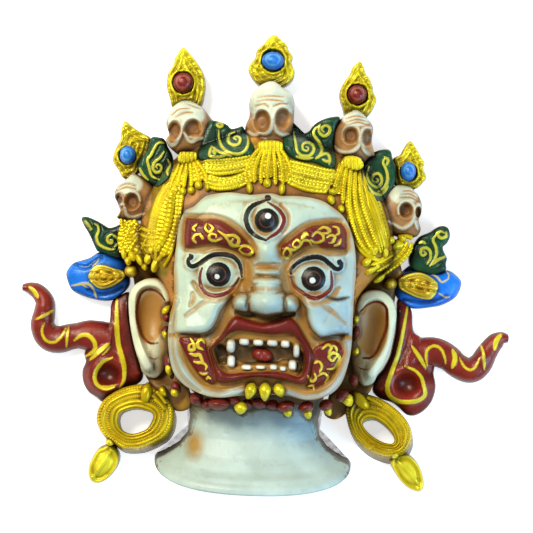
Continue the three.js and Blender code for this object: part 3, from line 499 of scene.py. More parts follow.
def hump(x, y, middle, half, rise, roundness=2):
    """Smooth swelling: the rise times (1 - d squared) to a power, where d is the share of the way out."""
    d = np.hypot((x - middle[0]) / half[0], (y - middle[1]) / half[1])
    return rise * np.clip(1 - d * d, 0, None) ** roundness


def dome(share, power):
    """One in the middle and nought at the rim: the square root of one less the share to a power."""
    return np.sqrt(np.clip(1 - share**power, 0, 1))


def bell(away, width):
    """A bell curve, one where away is nought: e to the minus square of away over a width."""
    return np.exp(-(away**2) / width)


def over(x, y, lines, taper=0.55):
    """The greatest nearness to any of several brush lines."""
    return np.max([nearness(x, y, half, points, taper) for half, points in lines], axis=0)


def crease(value, half, depth):
    """A soft groove or ridge along a line: depth times a bell of the distance outside its half width."""
    return depth * np.exp(-np.clip(-value, 0, None) ** 2 / half**2)


def face_relief(x, y, share):
    """Height and paint of the face, built up in the order a modeller adds them: a slab with a rounded edge,
    swellings, pads inside outlines, eyeballs and nose as the higher of two forms, then ridges and cuts."""
    z = FACE_LEVEL + FACE_SWELL * dome(share, 6) + hump(x, y, *FOREHEAD)
    z += hump(x, y, *FROWN) + hump(x, y, *CHIN)
    brow = np.maximum(*[inside(x, y, o) for o in BROWS])
    z += pillow(brow, *BROW_PAD)
    beard = np.maximum(*[inside(x, y, o) for o in BEARDS])
    z += pillow(beard, *BEARD_PAD)
    hollow = np.full(x.shape, BARE)
    kept = np.clip((-13.6 - y) / 9, 0, 1) * np.clip((abs(x) - 16) / 7, 0, 1)
    kept *= np.clip((57 - abs(x + 2)) / 12, 0, 1)
    for line in CHEEKS:
        away = 40 - nearness(x, y, 40, line, 0)
        above = y > np.interp(x, *np.array(line).T)
        hollow = np.maximum(hollow, np.where(above, -away, 3.4 - away))
        z += pillow(away * above, *CHEEK_PAD) * np.clip(1 - away / CHEEK_REACH, 0, 1) * kept
    for eye in EYES:
        z -= hump(x, y, eye, *SOCKET)
        z = np.maximum(z, EYE_LEVEL + hump(x, y, eye, *EYEBALL))
    z = np.maximum(z, THIRD_EYE_LEVEL + hump(x, y, THIRD_EYE, *THIRD_EYEBALL))
    black, red = over(x, y, BLACK_LINES), over(x, y, RED_LINES)
    z += crease(black, 1.3, 1.5) + crease(red, 1.3, 1.3)
    z += hump(x, y, *NOSE_RIDGE)
    z += sum(hump(x, y, *fold) for fold in NOSE_FOLDS)
    bulb = BULB_LEVEL + np.maximum(*[hump(x, y, *b) for b in NOSE_BULBS])
    wings = np.maximum(*[hump(x, y, *w) for w in NOSE_WINGS])
    z = np.maximum(np.maximum(z, bulb), WING_LEVEL + wings * (wings > 0))
    z -= crease(nearness(x, y, 0.8, UNDER_NOSE), 1, 2.5)
    lips, mouth = inside(x, y, LIPS), inside(x, y, MOUTH)
    lip = np.minimum(lips, -mouth)
    z += pillow(lip, *LIP_PAD) * (lips > 0) * (mouth < 0)
    hole = np.clip(mouth / 1.4, 0, 1)
    gums = np.maximum(*[crease(nearness(x, y, 1.6, gum), 1.6, rise) for gum, rise in GUMS])
    z = z * (1 - hole) + hole * (MOUTH_FLOOR + gums)
    z += crease(over(x, y, JAW_FOLDS), 1.5, 2.6)
    gold, ochre = over(x, y, GOLD_LINES), over(x, y, OCHRE_LINES)
    z += crease(gold, 0.35, 0.7)
    z -= crease(ochre, 0.9, 1.0) * (mouth < -1)
    ochre = np.maximum(ochre, np.minimum(mouth, 2) * 2)
    cavity = over(x, y, CAVITIES, 0)
    z -= np.clip(cavity, 0, 1.5)
    iris = np.max([IRIS - np.hypot(x - ex, y - ey) for ex, ey in (*EYES, THIRD_EYE)], axis=0)
    # A white painted highlight in each iris.
    spot = np.max([r - np.hypot(x - sx, y - sy) for r, (sx, sy) in IRIS_HIGHLIGHTS], axis=0)
    edging = np.max([brow + 2.4, beard + 2.2, lips + 2.8, hollow, 60 * (share - 0.99)], axis=0)
    edging = np.minimum(edging + 0.5 * np.sin(0.31 * x + 0.23 * y) * np.sin(0.19 * x - 0.37 * y), 1.6)
    return z, {
        # The bluish coat is painted shade with reflected blue light in it, growing towards the right and the
        # bottom of the face.
        "cool": 0.7 * x - 0.5 * y - 14, "ochre": np.maximum(ochre, edging),
        # The darkest coat is painted shade: the shade lines and the hollows of the mouth.
        "dark": np.maximum(over(x, y, SHADE_LINES), np.minimum(cavity, mouth + 1)),
        "red": np.max([red, lip, brow, beard], axis=0), "black": np.maximum(black, iris),
        "rim": 0.35 - abs(iris - IRIS_RIM), "gold": gold, "spot": spot,
    }


SUNK = 3  # mm that a form reaches down into the shell behind it
EDGE_DROP = 0.5  # mm at least from the edge of a form to its foot


def raised(middle, reach, relief, cells):
    """Closed form standing on the back or sunk in the shell. A square grid is drawn out to the outline, so
    that a place at share s of the square lies s times the outline's reach from the middle. relief(x, y,
    share) gives its height and paint; the edge drops to the foot and a fan closes it."""
    side = np.linspace(-1, 1, cells + 1)
    u, v = np.meshgrid(side, side, indexing="ij")
    share, angle = np.maximum(abs(u), abs(v)), np.arctan2(v, u)
    r = share * reach(angle)
    x, y = middle[0] + r * np.cos(angle), middle[1] + r * np.sin(angle)
    z, paint = relief(x.ravel(), y.ravel(), share.ravel())
    n = cells + 1
    number = np.arange(n * n).reshape(n, n)
    quads = np.stack([number[:-1, :-1], number[1:, :-1], number[1:, 1:], number[:-1, 1:]], -1).reshape(-1, 4)
    edge = np.concatenate([number[:-1, 0], number[-1, :-1], number[:0:-1, -1], number[0, :0:-1]])
    top = np.column_stack([x.ravel(), y.ravel(), z])
    foot = top[edge].copy()
    under = top_of_head(foot[:, 0], foot[:, 1]) - SUNK
    foot[:, 2] = np.clip(np.minimum(under, foot[:, 2] - EDGE_DROP), 0, None)
    centre = [*middle, max(0.0, float(top_of_head(*middle)) - SUNK)]
    count = len(edge)
    down = n * n + np.arange(count)
    wall = np.stack([down, np.roll(down, -1), np.roll(edge, -1), edge], 1)
    fan = np.stack([np.full(count, n * n + count), np.roll(down, -1), down], 1)
    coats = {key: np.concatenate([value, value[edge], [BARE]]) for key, value in paint.items()}
    return np.vstack([top, foot, centre]), np.vstack([quads, wall]), fan, coats


def outlined(outline, relief, cells, middle=None):
    """A raised form on a closed outline, drawn out from the middle given or from the mean of its points."""
    middle = tuple(np.mean(outline, axis=0)) if middle is None else middle
    return raised(middle, reach_of(outline, middle), relief, cells)


GOLD = (234, 210, 22)
RED = (122, 34, 25)
# Of its coats, the bluish one is painted shade with reflected blue light in it.
face_paint = painted("face paint", (212, 222, 184), second=(198, 210, 182), rough=0.3, coats=[
    # The dark brown coat is painted shade.
    ("cool", (148, 184, 208), 70, 0), ("ochre", (184, 136, 58), 1.7, 0), ("dark", (66, 50, 28), 0.9, 0),
    ("red", RED, 0.18, 0), ("black", (20, 18, 16), 0.16, 0), ("rim", (104, 66, 46), 0.2, 0),
    # The white coat is a painted highlight in each iris.
    ("gold", (238, 214, 70), 0.22, 0.35), ("spot", (235, 238, 235), 0.2, 0)], stain=(158, 116, 54), grip=0.9)
face = build("face", [outlined(FACE_OUTLINE, face_relief, 290, FACE_MIDDLE)], face_paint)
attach(face, "root")
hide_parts("mask")

# Teeth and tongue: white front teeth and four corner fangs pressed into the gums, round a red
# tongue. They are small lumps of the same clay, painted glossy white and red.
# Each tooth: its middle across and up, and its half sizes.
UPPER_TEETH = [
    (-20.4, -49, 2.9, 4.9), (-12.4, -46.4, 3.3, 2.7), (-4, -46.6, 3.4, 2.5), (4.4, -46.5, 3.6, 2.6),
    (12.2, -46.8, 3, 2.9), (19.2, -50.4, 2.3, 5.2),
]
LOWER_TEETH = [
    (-19.8, -59, 2.6, 4.2), (-10.4, -62, 3.6, 1.9), (-2, -61.6, 3.4, 1.6), (5.6, -61.4, 2.7, 2.1),
    (11.2, -62, 2.3, 1.9), (17, -60, 2.8, 3.6),
]


TOOTH_LEVEL, TOOTH_RISE = 46, 8.6
BITE = -54  # where the two rows meet
TONGUE_MIDDLE, TONGUE_LEVEL, TONGUE_RISE = (-1.2, -54.4), 44, 8


def blunt(rx, ry):
    """Reach of a rounded oblong at an angle, by the third-power form of the oval."""
    return lambda angle: (((np.cos(angle) / rx) ** 2) ** 1.5 + ((np.sin(angle) / ry) ** 2) ** 1.5) ** (-1 / 3)


def tooth_relief(middle, half):
    """A flat-topped dome: the fourth power keeps the crown full and the edge steep. Ochre starts a little
    over half of the way from its middle to its root."""
    def relief(x, y, share):
        root = (y - middle[1]) * np.sign(middle[1] - BITE) / half[1]
        return TOOTH_LEVEL + TOOTH_RISE * dome(share, 4), {"ochre": (root - 0.55) * 3}
    return relief


tooth_paint = painted("tooth paint", (240, 240, 228), rough=0.22, stain=(150, 108, 62), grip=0.7,
                      coats=[("ochre", (186, 140, 84), 0.8, 0)])
teeth = build("teeth", [raised((x, y), blunt(rx, ry), tooth_relief((x, y), (rx, ry)), 14)
                        for x, y, rx, ry in UPPER_TEETH + LOWER_TEETH], tooth_paint)
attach(teeth, "root")
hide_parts("mask")


def tongue_relief(x, y, share):
    """A low dome with a groove down its middle."""
    return TONGUE_LEVEL + TONGUE_RISE * dome(share, 3) - 0.8 * bell(x + 1, 1), {}


tongue_paint = painted("tongue paint", (136, 44, 32), rough=0.25, stain=(80, 28, 20))
tongue = build("tongue", [raised(TONGUE_MIDDLE, oval(6.8, 4.6, -0.2), tongue_relief, 26)], tongue_paint)
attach(tongue, "root")
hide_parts("mask")

# Grounds: the plain plates of washed clay that join the ears, the lotuses and the earrings to the
# head. They are thinner than what stands on them and are cast in one with the shell.
GROUNDS = [
    ((-68, -38),
     [(-86, 4), (-78, 15), (-64, 14), (-52, -8), (-50, -60), (-44, -84), (-46, -91), (-54, -92), (-62, -84),
      (-70, -76), (-78, -62), (-82, -40), (-82, -16)]),
    ((62, -38),
     [(83, -2), (76, 12), (62, 12), (52, -6), (47, -30), (45, -60), (40, -82), (38, -91), (46, -94),
      (56, -86), (66, -76), (72, -60), (77, -38), (80, -16)]),
]


PLATE_LEVEL, PLATE_SWELL, PLATE_STEP = 6.5, 4, 6


def ground_relief(x, y, share):
    """A plate that swells a little from its edge, thicker above and below the ear, with slow waves in it."""
    step = np.clip((y + 12) / 10, 0, 1) + np.clip((-70 - y) / 8, 0, 1)
    waves = 0.6 * np.sin(x / 3.1 + y / 5.3)
    return PLATE_LEVEL + PLATE_SWELL * dome(share, 4) + PLATE_STEP * step + waves, {}


grounds = build("ground_plates", [outlined(outline, ground_relief, 60, m) for m, outline in GROUNDS],
                washed_clay)
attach(grounds, "root")
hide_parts("mask")

# Ears: long-lobed ears with a white rolled rim, a red line inside it and an ochre hollow. They are
# cast with the head and painted like the face, with small red marks on the lobes.
# Each has its middle, outline, rim, red line, the hollow's middle and half sizes, and its marks.
EARS = [
    ((-70, -38),
     [(-56, -36), (-57.5, -20), (-63, -12), (-71.5, -10.8), (-79, -13.8), (-83.4, -18.5), (-84.5, -24),
      (-84.2, -31), (-83.2, -39), (-81.6, -47), (-79.4, -55), (-77, -62), (-74, -70), (-66, -72), (-60, -62)],
     [(-60.2, -22.7), (-62.3, -17.2), (-66, -14), (-71.6, -13), (-76.1, -14), (-79.7, -16.6), (-82.1, -21),
      (-82.7, -28.4), (-82, -36.9), (-79.9, -46), (-77.2, -53.3), (-73.6, -59.9), (-71, -64.7)],
     [(-62.1, -24), (-65.3, -20.4), (-69.7, -18.1), (-74, -18.3), (-77, -20.8), (-78.6, -25.8), (-79, -33.2),
      (-77.5, -40.5), (-74.8, -47.1), (-70.4, -50.7), (-65.5, -50.5)], (-70.6, -34.8), (6.6, 13.5),
     [[(-70.7, -58.7), (-67.6, -60.4), (-64.6, -59)], [(-67.5, -62.2), (-67.3, -68.3)]]),
    ((65, -40),
     [(52, -40), (54.5, -25), (57, -18), (61, -14.4), (66, -13.3), (71, -13.8), (75.5, -16.8), (78.6, -21),
      (80, -27), (79.6, -35), (78, -44), (76, -52), (73.5, -58.5), (70.5, -63.5), (67, -71), (60, -72),
      (54.5, -62)],
     [(57.1, -24.1), (58.5, -20.4), (61.2, -17.8), (65.7, -16.1), (70.6, -16.9), (74.4, -19.8), (77, -25.2),
      (78.2, -32.5), (77.6, -39.9), (75.4, -47.9), (72.6, -54.8), (69.1, -59.8), (65.5, -64.2)],
     [(57.6, -27.2), (61.2, -23.4), (66, -20.8), (70.3, -21.2), (73.5, -24.2), (74.3, -30.3), (73.9, -37.6),
      (71.1, -45.7), (68.3, -52), (64.7, -55.1), (60.4, -55.3)], (65.6, -38.1), (7.6, 14.5),
     [[(56.3, -60.3), (60.1, -62.1), (64.3, -61.9)], [(58.9, -65.2), (57.9, -70.1)]]),
]


EAR_LEVEL, EAR_SWELL = 14.5, 4


def ear_relief(rim, line, shell, half, marks):
    """A flat plate, a rolled rim along a curve, a hollow inside it and a soft full lobe."""
    def relief(x, y, share):
        along = nearness(x, y, 2.2, rim, 0.2)
        z = EAR_LEVEL + EAR_SWELL * dome(share, 5) + crease(along, 1.7, 5)
        z -= hump(x, y, shell, (half[0] + 2, half[1] + 3), 4.5, 1)
        z += hump(x, y, (shell[0] * 1.02, shell[1] - 24), (12, 13), 4)
        red = nearness(x, y, 0.85, line, 0.3)
        ochre = 1.05 - np.hypot((x - shell[0]) / (half[0] + 1.6), (y - shell[1]) / (half[1] + 1.6))
        red = np.maximum(red, over(x, y, [(0.45, m) for m in marks]))
        return z, {"ochre": ochre * 8, "red": red}
    return relief


ear_paint = painted("ear paint", (226, 232, 208), second=(208, 214, 184), rough=0.32, coats=[
    ("ochre", (198, 150, 80), 1.2, 0), ("red", RED, 0.25, 0)], stain=(184, 136, 72), grip=0.75)
ears = build("ears", [outlined(outline, ear_relief(*lines), 90, m) for m, outline, *lines in EARS], ear_paint)
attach(ears, "root")
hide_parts("mask")

# Neck: a half drum, hollow behind, that is waisted under the jaw and flares to a rolled foot. It
# is cast with the head, painted cream over grey clay, with pits, an ochre stain and painted shade:
# bluish up its middle and right, and darker under the jaw and low at its sides.
NECK_MIDDLE = -5
# Each row: share of the way down, half width, depth, how far the front hangs below the sides.
NECK_ROWS = [
    (0, 43, 27, 0), (0.35, 40, 27, 1), (0.6, 41, 28, 3), (0.76, 46, 32, 7), (0.86, 52, 37, 11.4),
    (0.9, 54.5, 41.6, 13.6), (0.925, 57, 42.2, 14.6), (0.95, 59.6, 44.4, 16), (1, 61, 45, 18),
]
NECK_TOP, NECK_END = -81.5, -121.3
FOOT_WALL = 5
PITS = [
    (-33, -99), (-22, -104), (-9, -97), (4, -108), (17, -101), (26, -110), (-14, -118), (-38, -117),
    (34, -121),
]
NECK_STEPS, NECK_TURNS = 64, 90
FLATTER, FULLER = 0.85, 0.8  # powers that square the half drum a little
OCHRE_SPOT = (-41, -112)
FOOT_RIMS = [(53, 38, FOOT_WALL), (59.5, 43.6, 0)]  # half width, height and distance back
along = np.linspace(0, 1, NECK_STEPS)
half_width, depth, hang = (np.interp(along, *np.array(NECK_ROWS)[:, [0, i]].T) for i in (1, 2, 3))
rows = []
for angle in np.linspace(np.pi, 0, NECK_TURNS):
    flat = np.sign(np.cos(angle)) * abs(np.cos(angle)) ** FLATTER
    full = np.sin(angle) ** FULLER
    down = NECK_TOP + (NECK_END - NECK_TOP) * along - hang * full
    outer = np.stack([NECK_MIDDLE + half_width * flat, down, depth * full], 1)
    inner = np.stack([NECK_MIDDLE + (half_width - WALL) * flat, down, (depth - WALL) * full], 1)[::-1]
    rows.append(np.vstack([outer, inner]))
neck_form = skin(np.array(rows))
x, y, z = neck_form[0].T
for pit in PITS:
    z -= hump(x, y, pit, (1.6, 1.3), 0.8) * (z > 12)
neck_coats = {"ochre": 5 - np.hypot(x - OCHRE_SPOT[0], (y - OCHRE_SPOT[1]) * 0.7),
              # Painted shade, darker low at the sides and up under the jaw.
              "dark": np.maximum(5 - z, (y + 90) * 0.6),
              # The bluish coat is painted shade with reflected blue light in it, growing up the neck and to
              # the right, and full low at the sides.
              "cool": np.maximum(y + 106 + 0.35 * x + 4 * np.sin(x / 9), 14 * (z < 6))}
neck_paint = painted("neck paint", (226, 232, 208), second=(214, 222, 200), rough=0.36, coats=[
    # The bluish coat is painted shade with reflected blue light in it.
    ("cool", (150, 184, 200), 30, 0), ("ochre", (196, 158, 92), 3.0, 0),
    # The darker coat is painted shade.
    ("dark", (150, 132, 98), 6.0, 0)], stain=(120, 104, 70))
angle = np.linspace(0, 2 * np.pi, 96, endpoint=False)
flat, full = np.cos(angle), np.maximum(np.sin(angle), 0) ** FULLER
foot_wall = [np.stack([NECK_MIDDLE + half * flat, NECK_END + 0.4 + back - hang[-1] * full, high_as * full], 1)
             for half, high_as, back in FOOT_RIMS]
neck = build("neck", [(*neck_form[:3], neck_coats), skin(np.array(foot_wall))], neck_paint)
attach(neck, "root")
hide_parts("mask")

# Crown skulls: five little skulls set across the top of the head, each turned a little outwards.
# They are cast with the crown, washed brown and picked out in cream on brows, cheeks and teeth.
# Each has its depth, outline, sockets (middle, half sizes), cream lines, wrinkles and top of the cream.
SKULLS = [
    (24,
     [(-85.6, 52.6), (-90.5, 47.6), (-93.7, 45.3), (-95.6, 41.4), (-95.3, 37.9), (-93.2, 33.1), (-91.9, 29.4),
      (-93.6, 25.7), (-89.9, 24), (-81.9, 23.7), (-74.7, 25.8), (-69.3, 30.2), (-68.9, 37), (-71, 44.2),
      (-76.1, 49.6), (-81.7, 52.4)],
     [((-92.3, 36.8), (2.5, 3.6)), ((-84.2, 35.5), (4.2, 4.8))],
     [[(-88, 40.6), (-85, 42.2), (-80.7, 40.2), (-79, 36)], [(-91.7, 31.3), (-93, 26.3)],
      [(-88.3, 31.4), (-86.6, 26.6), (-82, 25.5), (-76.6, 28.1)],
      [(-94.4, 38.5), (-92.9, 40.4), (-90.7, 38.7)], [(-90.8, 33.8), (-89, 33.5)]],
     [[(-93, 44.1), (-88.2, 46.4), (-82.1, 45.1)], [(-93, 42.2), (-88.1, 44.2), (-82, 43.2)]], (-87, 46.1),
     6.5),
    (32,
     [(-53.6, 98.8), (-61.3, 94.6), (-65, 85.9), (-64.5, 81.7), (-63.2, 77.5), (-64.9, 74.4), (-63.5, 70.8),
      (-59.8, 67.3), (-55.4, 65), (-43.3, 64.3), (-38, 68.1), (-36.4, 76), (-35.8, 85.1), (-38.1, 88.7),
      (-44, 95.2)],
     [((-59.3, 79.5), (3.9, 5.6)), ((-48.1, 81.1), (5.2, 5.3))],
     [[(-64.6, 74.1), (-61.7, 70.3), (-58.1, 71.6), (-55.8, 76.6), (-54.8, 82)],
      [(-53.2, 77.9), (-50.9, 74), (-48.4, 72.6), (-45.5, 74.2), (-41.8, 75.2)],
      [(-63.3, 81.1), (-61.6, 84.5), (-58, 85), (-55.4, 82)],
      [(-53.6, 82.1), (-51.9, 85.5), (-48.3, 87.4), (-44.6, 85.4), (-43.9, 80.6)],
      [(-49.7, 75.6), (-46.2, 76.9)]],
     [[(-61.7, 88.5), (-57, 92.6), (-50.4, 93.1)], [(-59.3, 87.4), (-53.9, 90.3), (-48.5, 90.8)],
      [(-52.9, 96.1), (-48.6, 94.7), (-44.3, 93.3)]], (-53.9, 90), 9.5),
    (40,
     [(-0.7, 112.1), (5.5, 108.1), (11, 104.3), (12.9, 99), (12.9, 89.9), (13, 83.9), (12.5, 79.7),
      (10.9, 74.8), (7.4, 71), (-4.6, 70), (-10.8, 72.8), (-15.1, 76.9), (-16.6, 83.5), (-14.4, 90.2),
      (-14.8, 98), (-13.1, 103.5), (-8.4, 109.1)],
     [((-6.4, 86.2), (4.9, 6.2)), ((5.9, 88.2), (4.4, 5.8))],
     [[(-11, 87.9), (-10.3, 92.7), (-6.7, 94.4), (-2.4, 92.4), (-0.4, 87.1), (-0.8, 81.6), (-3.7, 78.5),
       (-8, 79)], [(0.8, 85.9), (1.2, 91.9), (4.1, 94.8), (8.3, 95.2), (10.9, 92.3)],
      [(1.2, 84.1), (2.8, 80.2), (6.5, 78.3), (10.1, 79)], [(-15.2, 79.9), (-12.1, 77.6), (-8.5, 78)],
      [(-2.4, 74.3), (-1.7, 73.1)], [(0.6, 74.4), (1.3, 73.2)]],
     [[(-9.3, 100.6), (-3.3, 101.7), (6.3, 101.5)], [(-9.8, 97.9), (-3.9, 99.3), (6.4, 98.8)],
      [(-10.4, 95.2), (-5.6, 96.8), (-2.5, 94.8)], [(0.5, 95.5), (4.1, 97.2), (8.9, 97.3)]], (-1.5, 99.7),
     12),
    (32,
     [(52.1, 96.4), (46.7, 94.7), (42.5, 91.8), (38.7, 88), (36.2, 82.8), (36.1, 76.7), (37.2, 71.3),
      (40.4, 64.7), (46.5, 63.1), (55, 63.1), (60.3, 67.9), (63.3, 69.2), (61.2, 77.6), (61.8, 85.8),
      (58.9, 90.5)],
     [((47.5, 80.2), (4.9, 5)), ((57.5, 79), (3.2, 5))],
     [[(43.9, 77.6), (43.4, 82.4), (46.4, 85.3), (51.3, 84.5), (52.6, 80.9), (53.1, 74.9), (49.9, 70.8),
       (44.5, 69.4), (39.6, 71.1), (36.1, 74.9)], [(54.8, 77.4), (54.4, 82.5), (56.7, 85), (59.7, 85.1)],
      [(54.3, 76.2), (56.6, 70.8), (60.3, 68.8)]],
     [[(45.1, 88.3), (51.1, 90), (58.4, 89)], [(46.3, 86.5), (51.7, 88.2), (58.5, 86.9)],
      [(44.4, 90.4), (50.4, 92.1), (56.5, 91.4)]], (51, 93), 7.5),
    (24,
     [(76, 50.9), (80.9, 51.6), (85.2, 50.9), (88.9, 48.6), (92.1, 44.4), (93.7, 39.6), (93.4, 34.7),
      (92, 30.3), (93.4, 24.9), (91.1, 20.5), (85.1, 19.1), (77.7, 20.1), (71.5, 24.1), (68.2, 30.7),
      (67.3, 38), (70.7, 45.5)],
     [((83.3, 36.1), (4, 4.6)), ((90.8, 35.2), (1.9, 3.2))],
     [[(78.8, 33.5), (78.6, 38.1), (81.9, 41.3), (86.2, 40.5), (88.7, 37.6), (88.6, 32.1), (86.6, 27.7),
       (81.8, 24.8), (76.9, 26.8), (72.5, 29)], [(89.3, 38.2), (91.1, 39.8), (92.6, 38.9)],
      [(89, 30.2), (91, 24.8)]],
     [[(80.5, 45.8), (86, 46), (91, 43.1)], [(79.9, 43.7), (86, 43.9), (91.6, 41.3)],
      [(81, 47.7), (85.9, 48.1), (89.6, 46.1)]], (81.7, 46.5), 7),
]


SOCKET_DEPTH, SOCKET_RIM = 3.6, 0.9


def skull_relief(depth, sockets, cream, wrinkles, crown, cap_reach):
    """A domed cranium over a narrow jaw, round sunken sockets, raised cream ridges and wrinkle grooves."""
    def relief(x, y, share):
        full = np.maximum(depth, top_of_head(x, y) + 4)
        z = full * (0.6 + 0.4 * dome(share, 3))
        pits = np.full(x.shape, BARE)
        for (sx, sy), (rx, ry) in sockets:
            away = np.hypot((x - sx) / rx, (y - sy) / ry)
            z -= SOCKET_DEPTH * np.clip(1.25 - away**2, 0, 1) - SOCKET_RIM * bell(away - 1.2, 0.05)
            pits = np.maximum(pits, (1 - away) * min(rx, ry))
        lines = over(x, y, [(0.85, c) for c in cream])
        folds = over(x, y, [(0.5, w) for w in wrinkles])
        z += crease(lines, 0.6, 1.3) - crease(folds, 0.6, 0.8)
        cap = cap_reach - np.hypot((x - crown[0]) * 0.75, y - crown[1])
        cap = np.minimum(cap, -pits * 1.5 - 0.6)
        return z, {"cream": np.maximum(np.maximum(lines, cap), BARE), "ochre": np.maximum(folds, pits),
                   # The darkest coat is painted shade deep in each socket.
                   "dark": pits - 2.6}
    return relief


# The darkest coat is painted shade in the sockets.
skull_paint = painted("skull paint", (188, 142, 92), second=(150, 108, 70), rough=0.36, coats=[
    ("cream", (222, 226, 204), 0.8, 0), ("ochre", (192, 140, 78), 0.35, 0), ("dark", (156, 106, 58), 1.0, 0)],
    stain=(116, 84, 54), grip=0.8)
forms = [outlined(outline, skull_relief(depth, *marks), 76) for depth, outline, *marks in SKULLS]
skulls = build("crown_skulls", forms, skull_paint)
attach(skulls, "root")
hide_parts("mask")

# Flame finials: a gold flame over each skull, modelled in curled lobes round a seat for a jewel.
# They are cast with the crown and painted lemon gold, with a brown stain left in the cuts.
# Each has its depth, outline, and the middle and radius of the jewel's seat.
FINIALS = [
    (13,
     [(-90.9, 85.5), (-93.2, 81.4), (-93.8, 74), (-96.4, 68.4), (-98, 62.1), (-97.3, 59.1), (-94.1, 54.9),
      (-90.8, 50.1), (-84.1, 50.9), (-80, 56.6), (-77.1, 62.9), (-74.8, 74.7), (-80.1, 78.5), (-85.2, 81.4)],
     (-88.9, 64), 6.2),
    (14,
     [(-57.1, 132.3), (-61.2, 126.3), (-62.8, 120.7), (-65.7, 115.6), (-66.2, 107.6), (-64, 100.6),
      (-61.6, 94.2), (-53.5, 93.3), (-45, 96), (-42.8, 104.1), (-42.5, 110.9), (-44.1, 117.3), (-48.2, 123.6),
      (-53.1, 129.3)], (-56, 110.1), 7.6),
    (14,
     [(-0.4, 142.2), (-4.6, 139.6), (-7, 136.2), (-11.2, 132.3), (-12.2, 127.4), (-16.1, 121.1),
      (-14.6, 116.2), (-9.8, 110.8), (-1.1, 107.4), (7.4, 110.8), (11.3, 114.6), (12.6, 119), (11.3, 122.6),
      (10.3, 125.7), (11.1, 128.8), (8.5, 132.4), (7.2, 136), (3.4, 139.3)], (-1.1, 125.6), 8),
    (14,
     [(52.5, 127.5), (48.1, 123.3), (46.6, 118.9), (44.6, 116.4), (41.3, 110.3), (40.9, 104.6), (42.7, 99.1),
      (45.7, 91.8), (55, 90.9), (60, 95.4), (62.4, 99.8), (63.7, 104.1), (61.4, 109), (61.2, 111.7),
      (59, 116.9), (56.4, 119.9), (55, 124.2)], (51.7, 106.5), 7.4),
    (13,
     [(85.5, 79.6), (82, 75.2), (79.7, 70.8), (76.1, 68.8), (74.7, 65.1), (75.2, 57.7), (77.3, 51),
      (83.6, 48.2), (90.3, 50.2), (94.4, 54.1), (96.3, 57.2), (94.1, 62.7), (94.9, 66.4), (92.7, 69.4),
      (89.4, 75.2)], (85, 59.9), 6),
]


def flame_relief(depth, outline, seat, seat_reach):
    """Lobes that follow the outline: waves of the depth inside it, crossed by waves round the seat."""
    def relief(x, y, share):
        d = inside(x, y, outline)
        angle = np.arctan2(y - seat[1], x - seat[0])
        away = np.hypot(x - seat[0], y - seat[1])
        wave = 0.5 * np.cos(2 * np.pi * (d - 1.1) / 3.0) * (d < 9)
        lobes = 0.45 * np.cos(11 * angle + away * 1.1) * np.clip((away - seat_reach) / 2, 0, 1)
        lobes -= 0.7 * bell(np.sin(5.5 * angle + away * 0.55), 0.03) * (away > seat_reach + 1)
        collar = 1.8 * bell(away - seat_reach, 1.1)
        return depth - 3 + pillow(d, 3, 2.4) + wave + lobes + collar - 1.5 * (away < seat_reach - 1), {}
    return relief


# The lemon coat is dry-brushed paint and a painted highlight on the tops of domes and ribs.
gold_paint = painted("gold paint", GOLD, second=(206, 180, 16), metal=0.5, rough=0.3, stain=(118, 92, 12),
                     coats=[("bright", (250, 238, 64), 0.5, 0.4)], grip=0.9)
forms = [outlined(outline, flame_relief(depth, outline, *seat), 74) for depth, outline, *seat in FINIALS]
finials = build("flame_finials", forms, gold_paint)
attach(finials, "root")
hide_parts("mask")

# Jewels: domed stones of painted clay in the finials, blue over the middle and outer skulls and
# red over the other two, each with a lighter ring brushed round its top.
JEWELS = [
    ('blue', (-88.5, 64.3), (5.1, 5.9)), ('red', (-55.8, 110), (6.6, 6.6)),
    ('blue', (-1.1, 125.4), (7.3, 5.9)), ('red', (51.5, 106.5), (6.2, 6.2)),
    ('blue', (84.6, 60.3), (4.9, 6.2)),
]


JEWEL_LEVEL, JEWEL_RISE = 13, 7.6
# Colour of the stone, of the ring brushed on it and of the glint in its middle.
JEWEL_COLOURS = [("blue", (38, 120, 212), (96, 170, 236), (70, 150, 228)),
                 ("red", (120, 30, 22), (184, 92, 78), (160, 62, 50))]


def jewel_relief(middle):
    """A dome with a shallow ring groove; the lighter ring of paint lies a little over half way out and
    wavers three times round."""
    def relief(x, y, share):
        z = JEWEL_LEVEL + JEWEL_RISE * dome(share, 2) - 0.5 * bell(share - 0.72, 0.004)
        uneven = 0.25 * np.sin(3 * np.arctan2(y - middle[1], x - middle[0]))
        return z, {"ring": (0.1 - abs(share - 0.56)) * 5 + uneven, "glint": (0.22 - share) * 3}
    return relief


for colour, base, ring, glint in JEWEL_COLOURS:
    stone = painted(colour + " jewel paint", base, rough=0.2, stain=(60, 44, 20), grip=0.5, coats=[
        ("ring", ring, 0.45, 0), ("glint", glint, 0.5, 0)])
    jewels = build(colour + "_jewels", [raised(m, oval(*half), jewel_relief(m), 40)
                                        for kind, m, half in JEWELS if kind == colour], stone)
    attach(jewels, "root")
    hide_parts("mask")

